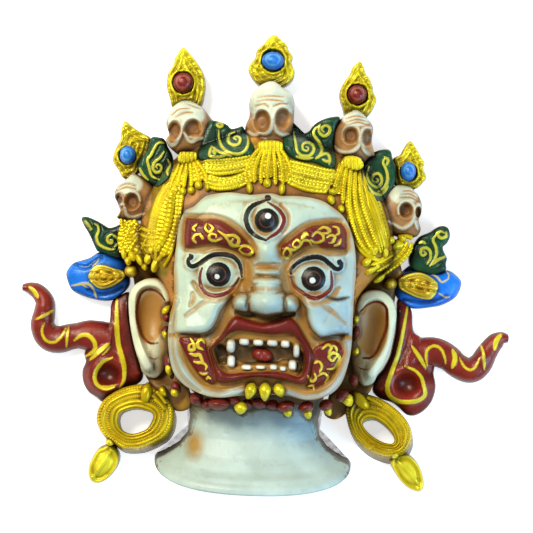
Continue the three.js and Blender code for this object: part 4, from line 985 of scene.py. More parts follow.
# Crown leaves: green painted panels that fill the gaps between the skulls, with scrolls of gold
# trailed on. They are cast with the crown, dark green in the hollows and lighter on the swells.
# Each has its depth, outline and scrolls, and one has the middle of a round dot besides.
LEAVES = [
    (31,
     [(-37.5, 86.2), (-32, 85.8), (-27.7, 84.1), (-25.1, 81.8), (-21.5, 82.5), (-18.2, 83.5), (-15.9, 79.4),
      (-13.4, 75.2), (-10.8, 70.4), (-10.6, 65.6), (-14.2, 63.6), (-27.5, 61.9), (-39, 60.9), (-44.6, 63.2),
      (-43.7, 74.1), (-40.4, 82.8)],
     [[(-32, 85.1), (-30.4, 83.6), (-31.9, 82.4), (-33.5, 83.5), (-32.3, 85.1)],
      [(-32.5, 80.2), (-32, 74.7), (-29.6, 69.3), (-24.7, 66.2), (-19.2, 65.7), (-15.3, 68.6), (-14.2, 73.5),
       (-15, 77.8)],
      [(-21.6, 74.5), (-23.2, 75.7), (-21.4, 76.9), (-19.2, 75.2), (-20, 71.8), (-23.6, 71.1), (-26.4, 73.4),
       (-26, 77.7), (-22.7, 79.6)], [(-36.4, 70.3), (-37.1, 64.2), (-31.9, 63.2), (-27, 64.6)],
      [(-36.4, 70.3), (-32, 66.8), (-24, 64.1)], [(-35.4, 67.3), (-33.8, 64.9)]]),
    (31,
     [(11.8, 87.6), (14.4, 82.9), (18.7, 80.6), (22.3, 81.9), (24.6, 85), (28.8, 88.5), (34.8, 90.9),
      (40.8, 91.1), (38.6, 84.3), (37.2, 73.9), (39.3, 66.1), (38.3, 60), (34.7, 58.3), (29.7, 60.9),
      (23.6, 62.5), (17.5, 62.9), (11.3, 65.1), (7.5, 69.8), (6.6, 77.7), (8.8, 84.5)],
     [[(20.6, 71.4), (22.1, 70.8), (21.3, 69), (18.8, 69.8), (18.7, 72.9), (21.7, 74.5), (24.8, 72.8),
       (25.2, 69.1), (22.6, 66), (18, 66.1), (15.2, 69.1), (14.1, 74.5), (13, 80.6)],
      [(31.5, 81.5), (29.9, 83.3), (32, 85.5), (34.8, 84.1), (34.3, 80.7), (31, 79.1), (28.2, 82),
       (28.9, 86)],
      [(28.3, 85.4), (25.4, 82.8), (25.5, 79.2), (28.4, 75.6), (30.4, 71.1), (29, 66.8), (26.6, 64.6)],
      [(26.9, 64.3), (30.2, 66.9), (33.8, 67.9), (35.2, 64.3), (34.7, 61.2)],
      [(30.9, 64.1), (33.1, 63), (34.6, 63.4)], [(15, 65.1), (20.5, 64.4), (24.8, 64.8)]]),
    (21,
     [(56.2, 63.5), (60.3, 69.2), (65.7, 72.4), (71.2, 73.2), (73.4, 71.5), (74.2, 67.8), (76.5, 61.8),
      (76.2, 52.6), (73.4, 46.3), (71.7, 42.6), (67.5, 40), (62.5, 42), (58.6, 47), (56, 53.7), (55.2, 59.2)],
     [[(64.5, 54.9), (65.8, 54), (64.6, 52.5), (62.4, 53.6), (62.6, 56.7), (65.6, 58), (67.8, 55.6),
       (67.7, 51.7), (64.7, 49.4), (60.6, 51.4), (58.6, 56.2), (60, 62.1)],
      [(69.6, 67.7), (68.5, 64.6), (70.8, 59.7), (71.6, 54.2), (69.6, 49.3), (65.4, 46.4)],
      [(69.2, 68.3), (71.5, 66.5), (70.9, 63.4)], [(59.2, 49.5), (62.4, 45.6), (67.9, 44.6)],
      [(72, 50.6), (69.7, 46.8), (66.7, 44.3)]]),
    (21,
     [(-74.1, 75.2), (-69.8, 75.7), (-66.1, 74.6), (-64.1, 70.3), (-60.9, 64.9), (-59.7, 57.6), (-61, 51.4),
      (-64.6, 47.3), (-68.8, 45), (-73.7, 46.7), (-77.5, 49.3), (-80.4, 53.2), (-81.5, 58.1), (-79.2, 63.1),
      (-76.3, 67.5)],
     [[(-66, 72.1), (-69.4, 72), (-71.7, 68.8), (-73.7, 64.5), (-75.8, 61.4), (-74.7, 57.1), (-72.7, 51.7),
       (-67.7, 49.4)],
      [(-69.5, 56.4), (-70.4, 57.6), (-68.9, 58.8), (-67.1, 57.4), (-67.6, 54.6), (-70.3, 53.9),
       (-72.2, 56.3), (-71.4, 60), (-68.2, 62.8), (-65.8, 66.6)],
      [(-63.2, 61.8), (-61.9, 58.8), (-63, 54.4), (-62.3, 52)], [(-80.5, 56.3), (-78.2, 52.1), (-75, 49.1)]]),
    (14.5,
     [(-115.8, 24.6), (-112.8, 25.6), (-107.2, 23.6), (-103.4, 21.6), (-99, 19.3), (-94.7, 20.1),
      (-91.1, 21.7), (-89, 15.6), (-88.7, 7), (-90.4, 0.8), (-95.3, 0.9), (-101.5, 3.5), (-105.3, 4.6),
      (-107.2, 7.6), (-109.2, 11.8), (-111.9, 16.7), (-114.4, 20.3)],
     [[(-113.6, 22.8), (-111.4, 20.7), (-109.8, 18.9)],
      [(-107.1, 21.2), (-105.2, 19.7), (-104.8, 16.9), (-105.9, 13.2), (-104.5, 9.2), (-101, 6.9),
       (-96.7, 5.8), (-94.2, 6.2)],
      [(-97.2, 11.7), (-96, 11.4), (-96.5, 9.8), (-98.7, 10.4), (-99.1, 13.1), (-96.7, 15.1)],
      [(-96.4, 15.1), (-93.2, 13), (-92.2, 10), (-94.6, 7.4)], [(-91.9, 17.4), (-91.1, 13.1), (-92.5, 9.4)]],
     (-109.4, 18)),
    (14.5,
     [(93.2, 20.1), (99.8, 23.5), (103.4, 26.1), (107.1, 27.7), (110.8, 26.3), (111.9, 21.4), (110.2, 17),
      (107.8, 14.5), (108.6, 11.4), (110.5, 7.8), (110, 4.1), (109.6, -0.2), (100.2, -3.6), (90.2, -0.3),
      (86.9, 5.8), (89.1, 13.8)],
     [[(108.2, 23.1), (105.7, 24), (103.6, 22.4), (106.1, 20), (109.2, 21), (109.1, 23.8)],
      [(103.6, 22.4), (101.2, 18.9), (102.9, 14.9), (103.7, 10.7), (102.6, 6.3), (99.9, 2.5)],
      [(95.9, 11.6), (97.2, 10.1), (95.4, 8.8), (93.8, 10.6), (94.9, 13.1), (97.7, 13.5), (99.9, 11.1),
       (99.8, 6.8), (98.1, 3.7)], [(101.1, 3.2), (104.7, 6.4), (109, 8.7)],
      [(92.7, 16.4), (94.8, 17.1), (96.7, 16.3)]]),
]


def leaf_relief(depth, outline, scrolls):
    """A panel swelling from its rim, with a shallow border groove and scrolls that stand proud."""
    def relief(x, y, share):
        d = inside(x, y, outline)
        gold = over(x, y, [(0.85, s) for s in scrolls])
        beside = over(x, y, [(2.3, s) for s in scrolls])
        base = np.maximum(depth, top_of_head(x, y) + 3.5)
        z = base - 3 + pillow(d, 4, 3) + crease(gold, 0.5, 1.0) - crease(beside, 0.5, 0.3)
        return z, {"light": beside - 0.9 + 0.7 * np.sin(x * 0.9 + y * 0.6), "gold": gold}
    return relief


leaf_paint = painted("green paint", (22, 80, 48), second=(14, 52, 32), rough=0.28, stain=(10, 28, 18),
                     grip=0.9, coats=[("light", (46, 104, 60), 0.9, 0), ("gold", (224, 214, 78), 0.3, 0.35)])
forms = []
for depth, outline, scrolls, *dots in LEAVES:
    scrolls += [[(dx - 0.1, dy), (dx + 0.1, dy)] for dx, dy in dots]
    forms.append(outlined(outline, leaf_relief(depth, outline, scrolls), 72))
leaves = build("crown_leaves", forms, leaf_paint)
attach(leaves, "root")
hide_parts("mask")

# Garlands: gold bands over the brow with festoons, and tassels of beaded strings that hang from
# the skulls. They are trailed and pressed clay on the shell, painted gold with brown left between.
BANDS = [
    [(-40.9, 60.6), (-33.8, 61.5), (-26, 62.1), (-18.8, 63.2), (-10.5, 65.6)],
    [(-40.3, 58.4), (-33.1, 58.5), (-24.7, 59.4), (-17.5, 60.9), (-8.6, 63.9)],
    [(-39, 56.1), (-32.4, 55.8), (-24, 56.7), (-16.8, 58.5), (-8, 61.8)],
    [(-37.1, 53.9), (-31.1, 53.4), (-23.3, 54.5), (-16.2, 56.3), (-8.5, 59.4)],
    [(8.8, 62.7), (16.1, 61.3), (24.5, 59.7), (32.4, 58), (39, 57.4)],
    [(8.9, 60.1), (16.2, 58.4), (24.6, 56.9), (32.5, 55.4), (39.1, 54.7)],
    [(9, 57.6), (16.3, 55.9), (24.7, 54.3), (32.6, 52.8), (37.4, 52)],
]
FESTOONS = [
    [(-40, 51.1), (-34.5, 49.2), (-27.9, 49.2), (-20.8, 51.4), (-14.3, 54.4), (-8.4, 57)],
    [(-38.7, 48.1), (-32.6, 46.5), (-25.5, 47), (-18.9, 49.4), (-14.2, 51.7)],
    [(-36.8, 45.2), (-30.8, 44.2), (-23.6, 45), (-17.7, 47.3)],
    [(9.7, 55.2), (16.4, 52.4), (24.2, 50.9), (32.7, 50), (38.1, 49.6)],
    [(11, 52.2), (17.1, 49.2), (25, 47.6), (32.8, 46.7)], [(13.5, 48.7), (19.6, 46.2), (26.9, 45)],
]
# Plaited bodies under the strings, four of the band and then those of the tassels: half width and path.
BODIES = [
    (4.6, [(-41.4, 57.6), (-33, 57), (-24.6, 57.9), (-16.9, 60), (-8.6, 62.4)]),
    (4.4, [(-40, 50.5), (-32.7, 47.7), (-24.3, 47.7), (-16.6, 50.7), (-8.9, 55.2)]),
    (4.6, [(8.3, 60), (16.2, 58.1), (24.6, 56.6), (32.5, 55.1), (39.7, 54.2)]),
    (4.4, [(9.7, 53.4), (17.1, 50.1), (25.5, 48.3), (35.8, 47.7)]),
    (6.4, [(-58, 46.3), (-63, 36.5), (-66.2, 25.6), (-67.7, 14.7), (-67.9, 5.1)]),
    (4.6, [(-55.5, 46.4), (-56.3, 35.5), (-57.1, 23.5), (-59.7, 12.6), (-63.6, 2.8)]),
    (7, [(49.8, 62.2), (50.2, 50.1), (51.9, 38.2), (55.8, 27.5), (59.8, 16.8), (64.3, 8.5)]),
    (4.4, [(54.8, 60), (60.1, 47), (65.4, 33.9), (70.1, 19.6), (71.5, 12.4)]),
    (5, [(-9.3, 64.7), (-12, 57.4), (-12.3, 49)]), (5.2, [(-2.1, 67.3), (-2.5, 58.9), (-2.8, 51.7)]),
    (5, [(5.1, 65.2), (8.4, 58.1), (9.3, 49.7)]), (5, [(-53.6, 59.7), (-55.7, 52.4), (-56.7, 45.1)]),
    (5.2, [(-47, 59.9), (-44.9, 53.9), (-42.9, 48)]), (4, [(44.9, 63.1), (42.2, 53.4), (40.7, 43.7)]),
    (6.4, [(-88, 22.7), (-82.3, 16.2), (-74.3, 11.6), (-66.3, 10.7)]),
    (5.4, [(-86.1, 20.3), (-87, 11.8), (-85.5, 3.9)]), (6, [(-74.3, 14.6), (-76.5, 7.9), (-79.3, 1.1)]),
    (4.6, [(84.1, 15.3), (80, 9.1), (72.9, 4), (65.8, 0.1)]),
]
# Each string: half width, beads along it, and its path.
STRINGS = [
    (1.3, 16, [(-6.4, 70.2), (-11.1, 64.6), (-14.1, 58.5), (-14.8, 51.9), (-13.4, 47.1)]),
    (1.3, 15, [(-4.6, 70.3), (-8, 63.5), (-9.9, 56.3), (-9.9, 48.5)]),
    (1.3, 14, [(-2.9, 70.3), (-5, 63.6), (-5.9, 55.8), (-5.7, 48)]),
    (1.3, 13, [(-1.1, 70.4), (-1.7, 62.6), (-2.3, 55.3), (-2.2, 51.1)]),
    (1.3, 15, [(0.7, 70.4), (1.9, 62.7), (2.5, 55.5), (3, 47.7)]),
    (1.3, 15, [(2.5, 70.5), (5.2, 64), (6.6, 56.8), (7.5, 47.9)]),
    (1.3, 13, [(4.3, 70.6), (8.7, 64.7), (11.3, 58.8), (12.8, 52.3)]),
    (1.3, 13, [(-54.2, 60.8), (-56.4, 54.7), (-58.9, 48.1), (-60.2, 42.6)]),
    (1.3, 12, [(-52.4, 60.3), (-54, 54.2), (-55.3, 48.2), (-55.7, 44.6)]),
    (1.3, 12, [(-50.6, 60.4), (-51, 53.7), (-51.7, 48.3), (-52.1, 44.1)]),
    (1.3, 11, [(-48.8, 60.4), (-47.9, 53.8), (-47.5, 48.4), (-47.6, 44.8)]),
    (1.3, 10, [(-47, 60.5), (-45, 55.7), (-43.3, 51), (-42.9, 48)]),
    (1.3, 11, [(-45.5, 61.1), (-42.1, 57.1), (-39.2, 52.3), (-38.1, 46.4)]),
    (2.6, 13, [(-59, 42.7), (-59.1, 34.9), (-59.7, 27), (-61.2, 19.1), (-64, 11.8), (-68, 7.5)]),
    (1.25, 13, [(-90.7, 25.1), (-89.2, 17.8), (-87.1, 10.6), (-83.9, 4.6)]),
    (1.25, 15, [(-88.7, 24.5), (-84.8, 17.3), (-79.7, 12), (-73, 9.2), (-66.3, 9.5)]),
    (1.25, 14, [(-86.2, 23.9), (-81.1, 18.6), (-74.3, 14.6), (-66.4, 13.1)]),
    (1.25, 14, [(-83.7, 23.4), (-78.1, 20), (-72, 17.7), (-65.3, 17.4)]),
    (1.25, 8, [(-83.8, 20.4), (-86.6, 14.8), (-89.4, 9.3), (-89.9, 5)]),
    (1.25, 8, [(-77.6, 19.4), (-80.4, 13.2), (-83.3, 8.3), (-84.9, 3.3)]),
    (1.25, 8, [(-71.4, 17.2), (-74.2, 11), (-77, 6), (-79.9, 2.3)]),
    (1.35, 13, [(44.2, 64.3), (42, 58.2), (39.9, 52.1), (38.2, 47.2)]),
    (1.35, 20, [(46, 64.3), (44.8, 55.9), (43.9, 46.8), (43.7, 37.8)]),
    (1.5, 40, [(47.9, 64.5), (47.7, 54.3), (47.4, 44), (48.1, 34.4), (50.5, 24.9), (54.4, 16), (60.1, 8.3)]),
    (1.5, 40, [(50, 64.6), (50.4, 54.4), (50.7, 44.1), (52.3, 34.6), (55.3, 25), (59.2, 16.1), (64.3, 7.9)]),
    (1.5, 38,
     [(52.2, 64.7), (53.1, 54.5), (54.4, 45.5), (56.5, 35.9), (60.1, 26.4), (64.1, 16.9), (68, 9.2)]),
    (1.3, 12, [(82.8, 17.7), (79.9, 12.7), (74.6, 8.3), (68.1, 4.4), (62.1, 1.8)]),
    (1.3, 13, [(85.3, 17.8), (83.1, 11.7), (77.8, 6.6), (71.9, 2.1), (65.9, -1.7)]),
    (1.3, 12, [(87.8, 16.7), (86.2, 10.6), (81.6, 4.9), (76.2, 0.5), (70.3, -4)]),
]
CORDS = [
    (0.9, [(-59.8, 48.7), (-64.4, 41.9), (-67.7, 34), (-69.2, 24.3), (-70.1, 14.6)]),
    (0.9, [(-57.6, 45.1), (-62.5, 38.3), (-65.5, 30.4), (-66.7, 20.8), (-67.6, 13.5)]),
    (1.3, [(-55.9, 39.2), (-56.2, 28.4), (-57.3, 17.5), (-61.4, 6.5), (-67.2, -0.9)]),
    (1.1, [(-54.2, 33.8), (-54.5, 23.6), (-55.9, 12.7), (-58.8, 3), (-62.8, -4.4)]),
    (1, [(-63.6, 36.5), (-63.9, 28.1), (-64.8, 18.4), (-66.9, 9.9)]),
    (1.1, [(-71.5, 17), (-69.5, 11.1), (-67.5, 5.1), (-67.3, -0.9)]),
    (1.4, [(54, 63), (56.2, 51.6), (59, 41.5), (63, 32), (66.9, 21.8), (70.9, 11.1)]),
    (1.3, [(54.9, 57.6), (58.8, 48.1), (64, 38.6), (68, 27.9), (71.4, 17.2)]),
    (1.1, [(57.6, 46.8), (59.7, 37.8), (63, 28.9), (66.4, 18.2), (69.1, 9.9)]),
    (0.9, [(47.8, 33.2), (47.4, 29), (46.9, 24.7)]),
    (1.2, [(50.3, 18.9), (54.2, 11.8), (60.4, 6.6), (68.9, 4.5), (75, 4.1)]),
    (1, [(48.9, 24.9), (51, 16.5), (56.7, 9.5), (65.2, 6.1)]),
    (1.5, [(79.1, 19.4), (83.9, 20.2), (88.2, 19.1)]), (1.2, [(-5.8, 35.4), (-10.6, 34.7), (-13.6, 34.6)]),
]
# Each drop: its middle, half sizes and turn, in the manner of a leaf or a pearl.
DROPS = [
    ((-12.5, 45.3), (2.2, 4.2), 0.1), ((-2.1, 48.9), (2.8, 3.4), 0), ((7, 45.1), (2.2, 4.2), -0.1),
    ((-43.1, 46.1), (2.9, 2.9), 0), ((-47.4, 42.9), (2.4, 2.6), 0), ((-52.5, 42.1), (2.4, 2.8), 0),
    ((-56.5, 42.6), (2, 2.4), 0), ((-37.7, 44.8), (2, 2.6), 0), ((-83, 2.2), (3, 3.6), 0.5),
    ((-78, -0.1), (2.6, 4.8), 0.6), ((-72, 1.4), (3, 4.2), -0.5), ((-67.6, -2.1), (2.6, 5.4), -0.35),
    ((-74.6, -3.6), (3, 3), 0), ((-88.1, 3.9), (2, 4), 0.1), ((-85.5, -0.9), (2, 3), 0.3),
    ((-65.5, 8.2), (2.2, 3), 0), ((-70.2, 6.3), (2.4, 2.4), 0), ((36.6, 39.9), (2.6, 3.4), 0.2),
    ((42.8, 34.7), (2.4, 3), 0), ((37.6, 45), (3, 2.4), 0), ((78.4, 14.5), (5.4, 3.6), 0.3),
    ((74.1, 17.4), (3, 2.6), 0), ((81.9, 18.8), (2.6, 2.6), 0), ((62.1, -1.2), (2.4, 5), -1),
    ((68.4, -5.9), (2.6, 4.6), -0.9), ((59.4, 3.5), (2.4, 3.6), -0.9), ((70.4, 9.9), (2.6, 3.6), 0.2),
    ((18.2, 52.5), (3.6, 2.2), -0.2), ((65.7, 1.3), (2.2, 2.2), 0),
]


def swept(path, width, height, steps, sides=8, ground=0.0):
    """A closed bar along a path: its rings lie across the path, half as wide and half as high as width(t) and
    height(t) say at share t, and nothing goes under the ground."""
    line = smooth(path, steps)
    run = np.gradient(line[:, :2], axis=0)
    run /= np.linalg.norm(run, axis=1)[:, None] + 1e-9
    t = np.linspace(0, 1, steps)
    angle = np.linspace(0, -2 * np.pi, sides, endpoint=False)
    out = np.outer(width(t), np.cos(angle))
    x = line[:, :1] + run[:, 1:] * out
    y = line[:, 1:2] - run[:, :1] * out
    z = np.maximum(line[:, 2:] + np.outer(height(t), np.sin(angle)), ground)
    return skin(np.stack([x, y, z], 2))


LOWEST_STRING = 20  # height over the back of what hangs beside the shell
GRAIN_ACROSS, GRAIN_ALONG = 2.2, 2.4  # mm from one string or grain of a plait to the next


def laid(path, lift):
    """A path of places in plan, given heights that lie on the shell, or clear of the back beside it."""
    line = smooth(path, 24)
    level = np.maximum(top_of_head(line[:, 0], line[:, 1]), LOWEST_STRING) + lift
    return np.column_stack([line, level])


def plait(half, path):
    """A low body laid over the shell, scored into strings side by side. Its rings lie across the path; each
    place takes the height of the shell under it, a low arch, and for grains the product of two waves, along
    and across."""
    line = smooth(path, 100)
    run = np.gradient(line, axis=0)
    length = np.linalg.norm(run, axis=1)
    run /= length[:, None]
    t = np.linspace(0, 1, len(line))
    angle = np.linspace(0, -2 * np.pi, 30, endpoint=False)
    taper = half * np.clip(8 * np.minimum(t, 1 - t) + 0.3, 0, 1)
    across = np.outer(taper, np.cos(angle))
    x, y = line[:, :1] + run[:, 1:] * across, line[:, 1:2] - run[:, :1] * across
    notches = 0.55 + 0.45 * abs(np.sin(np.pi * np.cumsum(length) / GRAIN_ALONG))
    grain = abs(np.sin(np.pi * across / GRAIN_ACROSS)) * notches[:, None]
    up = np.clip(-np.sin(angle), 0, None)
    rise = 1.5 * up**0.5 + 0.9 * grain * (up > 0.2) - 3 * np.clip(np.sin(angle), 0, 1)
    return skin(np.stack([x, y, np.maximum(top_of_head(x, y), LOWEST_STRING + 0.5) + rise], 2))


def beaded(half, beads):
    """Half size along a string of beads: a fifth is taken off between one bead and the next, and the ends
    thin to a third."""
    def size(t):
        ends = np.clip(8 * np.minimum(t, 1 - t) + 0.35, 0, 1)
        return half * (0.8 + 0.26 * abs(np.sin(np.pi * beads * t))) * ends
    return size


def plain(half):
    """Half size of a smooth cord that thins over its last tenth."""
    return lambda t: half * np.clip(10 * np.minimum(t, 1 - t) + 0.3, 0, 1)


DROP_RISE = 4.6


def drop_relief(middle, turn):
    """A dome with a ring groove and a rib down its middle."""
    def relief(x, y, share):
        across = (x - middle[0]) * np.cos(turn) + (y - middle[1]) * np.sin(turn)
        level = max(float(top_of_head(*middle)), LOWEST_STRING + 1) - 1
        z = level + DROP_RISE * dome(share, 2.4) - 0.6 * bell(share - 0.6, 0.02) + 0.4 * bell(across, 0.2)
        # The lemon coat on the top of the dome is dry-brushed paint and a painted highlight.
        return z, {"bright": (0.5 - share) * 2}
    return relief


BAND_BODIES = 4
forms = [swept(laid(p, 0.9), beaded(1.4, 16), beaded(1.8, 16), 110) for p in BANDS]
forms += [swept(laid(p, 0.8), beaded(1.6, 11 + i), beaded(1.9, 11 + i), 110) for i, p in enumerate(FESTOONS)]
forms += [plait(h, p) for h, p in BODIES[:BAND_BODIES]]
garlands = build("brow_garlands", forms, gold_paint)
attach(garlands, "root")
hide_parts("mask")
forms = [swept(laid(p, 1.6), beaded(h * 1.15, n), beaded(h, n), 7 * n) for h, n, p in STRINGS]
forms += [plait(h, p) for h, p in BODIES[BAND_BODIES:]]
forms += [swept(laid(p, 0.9), plain(h), plain(h * 0.9), 48) for h, p in CORDS]
forms += [raised(m, oval(*half, t), drop_relief(m, t), 18) for m, half, t in DROPS]
tassels = build("crown_tassels", forms, gold_paint)
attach(tassels, "root")
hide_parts("mask")

# Tassel collars: pleated gold caps that the strings hang from, under the jaws of three skulls.
# They are pressed from the same clay and painted as the strings are.
COLLARS = [
    [(-7.8, 73.6), (0, 74.8), (6, 73.5), (7.4, 68.8), (3.3, 65.6), (-4.5, 65), (-8.8, 68.2)],
    [(-55.5, 65.5), (-50.1, 66.3), (-45.3, 65.8), (-43.9, 61.1), (-49.2, 58.8), (-55.9, 60.1)],
    [(43.5, 65.9), (48.2, 67.3), (53.7, 66), (55.7, 61), (50.4, 58.4), (42.5, 60.5)],
]


COLLAR_RISE, PLEAT = 3, 2.3  # height of a cap over its rim, and mm from one pleat to the next


def collar_relief(level, middle):
    """Pleats down the cap: a wave of the place across it, on a pillow that falls to its rim."""
    def relief(x, y, share):
        return level + COLLAR_RISE * dome(share, 4) + 0.55 * np.cos(2 * np.pi * (x - middle[0]) / PLEAT), {}
    return relief


forms = []
for outline in COLLARS:
    middle = tuple(np.mean(outline, axis=0))
    level = max(float(top_of_head(*middle)), 38)
    forms.append(outlined(outline, collar_relief(level, middle), 44))
collars = build("tassel_collars", forms, gold_paint)
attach(collars, "root")
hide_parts("mask")

# Scarves: red ribbons that fall behind the ears and roll out to both sides in waves. Each is a
# moulded body with a rolled tail, painted red, with yellow lines brushed along its folds.
# Each: outline and middle, the tail's path and half widths, yellow lines, folds, middle of the loop.
SCARVES = [
    ([(-96, -27.2), (-91.2, -22.7), (-85.1, -20.7), (-84, -33.6), (-81.1, -46.5), (-78.3, -56.9),
      (-75.4, -68), (-75.8, -74.8), (-83.6, -80.7), (-90.9, -85.3), (-98.2, -89.2), (-103.3, -86),
      (-107.7, -83.4), (-110.6, -79.7), (-112.3, -74.9), (-112.5, -69.3), (-110.8, -64.3), (-111.6, -58.7),
      (-108.2, -51.8), (-102.2, -45.4), (-96.9, -39)], (-94.2, -63.7),
     [(-94.9, -50.3), (-102.4, -49), (-111.2, -48), (-119.8, -48.9), (-127.8, -51.1), (-134.7, -49.5),
      (-138.4, -42.5), (-137.5, -34.7), (-137.6, -27.8), (-141.5, -22.3), (-146.7, -19.8), (-151.4, -19.5)],
     [10.2, 10.4, 9.8, 8, 8.3, 8.6, 8, 7.2, 6.5, 5.6, 4.6, 2.2],
     [(1.5,
       [(-92.6, -24.6), (-92.2, -34.5), (-91.6, -43.7), (-90.3, -53), (-87.9, -60.3), (-86.1, -67),
        (-86.2, -74.4), (-88.5, -79.5)]),
      (1.3, [(-146.9, -19.1), (-144, -21.4), (-141.1, -25.3)]),
      (0.9, [(-141.8, -38.9), (-136.6, -36.3), (-131.2, -32.7)]),
      (0.9,
       [(-136.5, -40.9), (-137.8, -45.9), (-135.5, -51.3), (-130.5, -52.7), (-126, -49.5), (-123.4, -43.8)]),
      (0.8, [(-121.6, -43.1), (-122.1, -49.6), (-122.4, -55.2)]),
      (1.3,
       [(-117.6, -51), (-113.4, -47.8), (-109.1, -47.6), (-105.3, -51.2), (-104.8, -55.8), (-108.1, -59.3),
        (-110.5, -60.6)]),
      (1.4, [(-107.5, -62.5), (-102.1, -57.3), (-96.1, -52.2)]),
      (1.2,
       [(-93.6, -60.7), (-99.4, -63.7), (-103.2, -68.7), (-104.2, -74), (-101.9, -78.3), (-96.9, -80.3),
        (-92, -78.9)]),
      (0.5, [(-99.7, -59.5), (-94.9, -53.7)]),
      (0.5, [(-100.7, -78.5), (-95.8, -78.7), (-90.9, -77.3)])],
     [[(-84.6, -28), (-83, -38.5), (-80.8, -49.5), (-77.9, -60.5), (-77, -69.1)],
      [(-95.8, -43.8), (-99.2, -53.2), (-102.7, -57.7)]], (-96.1, -71.6)),
    ([(81.4, -19.2), (85.7, -19), (90.3, -25.7), (91.2, -34.3), (92.6, -39.2), (97.1, -42.2), (102.2, -47.6),
      (104.9, -53.6), (105.7, -59.8), (105.3, -64.2), (106.3, -68.5), (106.8, -72.8), (105.8, -78.4),
      (103.5, -83.4), (99.3, -87.9), (94.4, -90.5), (89.4, -90.1), (84.3, -85.9), (79.9, -83), (73.6, -81.1),
      (69.9, -79), (67.9, -76), (68.7, -71), (70.7, -66.6), (74.2, -61.8), (77.7, -54.6), (79.3, -47.1),
      (80.8, -37.8), (81.1, -28.5)], (88, -64.2),
     [(90.3, -53.7), (97.7, -51.6), (106.4, -51), (113.9, -53.8), (120.3, -58.9), (127.9, -61.4),
      (133.9, -57.5), (138, -50.2), (142.2, -44.1), (146.7, -40.8), (150.8, -40.7)],
     [9.4, 9.6, 9.4, 8.6, 7.8, 7.8, 7.9, 7.1, 6.2, 5.4, 2.6],
     [(1.4,
       [(87.5, -23.2), (85.7, -34.4), (83.9, -45), (81.8, -54.9), (78.7, -63.7), (76.5, -71.2), (77.4, -77.3),
        (82.1, -81.2), (88.9, -81.9), (95.7, -80.7), (99.9, -77.2), (98.7, -71), (97, -66.1), (93.2, -62.3),
        (86.9, -59.7)]),
      (1.2, [(90.7, -47.2), (94.6, -52.6), (99.8, -60.4)]),
      (0.9,
       [(100.9, -59.1), (99.5, -53), (100.9, -48.6), (104.8, -46.6), (108.9, -48.6), (111.2, -53.5),
        (112, -57.5)]),
      (1.5, [(116, -48.7), (117.7, -53.6), (116.1, -59.8)]),
      (0.8, [(120.5, -53.5), (123.1, -58.3), (126.9, -60.7), (130.5, -58.7), (132.8, -53.1)]),
      (0.9, [(133.7, -45), (135.2, -51.1), (136.1, -60.3)]),
      (1.5, [(146, -38.5), (143, -42.3), (142, -47.8)])],
     [[(82.7, -26.5), (82.5, -38.8), (79.8, -51.3), (74.7, -63.8), (71.4, -73.8)],
      [(93.7, -42.2), (92.2, -50.9), (88.7, -57.2)]], (88.6, -71.4)),
]


SCARF_LEVEL, SCARF_SWELL = 5.5, 5
TAIL_LEVEL = (4.2, 3.4)  # height of the tail's middle line at its root and at its tip
TAIL_HEIGHT = [(0, 8.4), (0.75, 8.2), (1, 4.5)]  # share of the tail and how high it stands over that


def scarf_relief(lines, folds, lobe):
    """A rounded body with fold ridges, a sunken middle to its rolled lower loop, and brushed lines."""
    def relief(x, y, share):
        yellow, ridges = over(x, y, lines), over(x, y, [(1.6, f) for f in folds])
        z = SCARF_LEVEL + SCARF_SWELL * dome(share, 4) + crease(ridges, 2.4, 2.2)
        z += 3.2 * bell(np.hypot(x - lobe[0], y - lobe[1]) - 10, 14)
        z -= hump(x, y, lobe, (9, 8), 3.5)
        return z + crease(yellow, 0.5, 0.4), {"yellow": yellow}
    return relief


scarf_paint = painted("scarf paint", (146, 46, 30), second=(116, 34, 22), rough=0.27, stain=(72, 26, 18),
                      grip=0.8, coats=[("yellow", (232, 214, 44), 0.3, 0.1)])
forms = []
for outline, middle, path, widths, lines, folds, lobe in SCARVES:
    forms.append(outlined(outline, scarf_relief(lines, folds, lobe), 100, middle))
    spine = np.column_stack([path, np.linspace(*TAIL_LEVEL, len(path))])
    share = np.linspace(0, 1, len(widths))
    points, quads, fans = swept(spine, lambda t: np.interp(t, share, widths),
                                   lambda t: level_at(t, TAIL_HEIGHT), 190, 40)[:3]
    yellow = np.where(points[:, 2] > 3, over(points[:, 0], points[:, 1], lines), -9)
    points[:, 2] += crease(yellow, 0.5, 0.35)
    forms.append((points, quads, fans, {"yellow": yellow}))
scarves = build("scarves", forms, scarf_paint)
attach(scarves, "root")
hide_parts("mask")

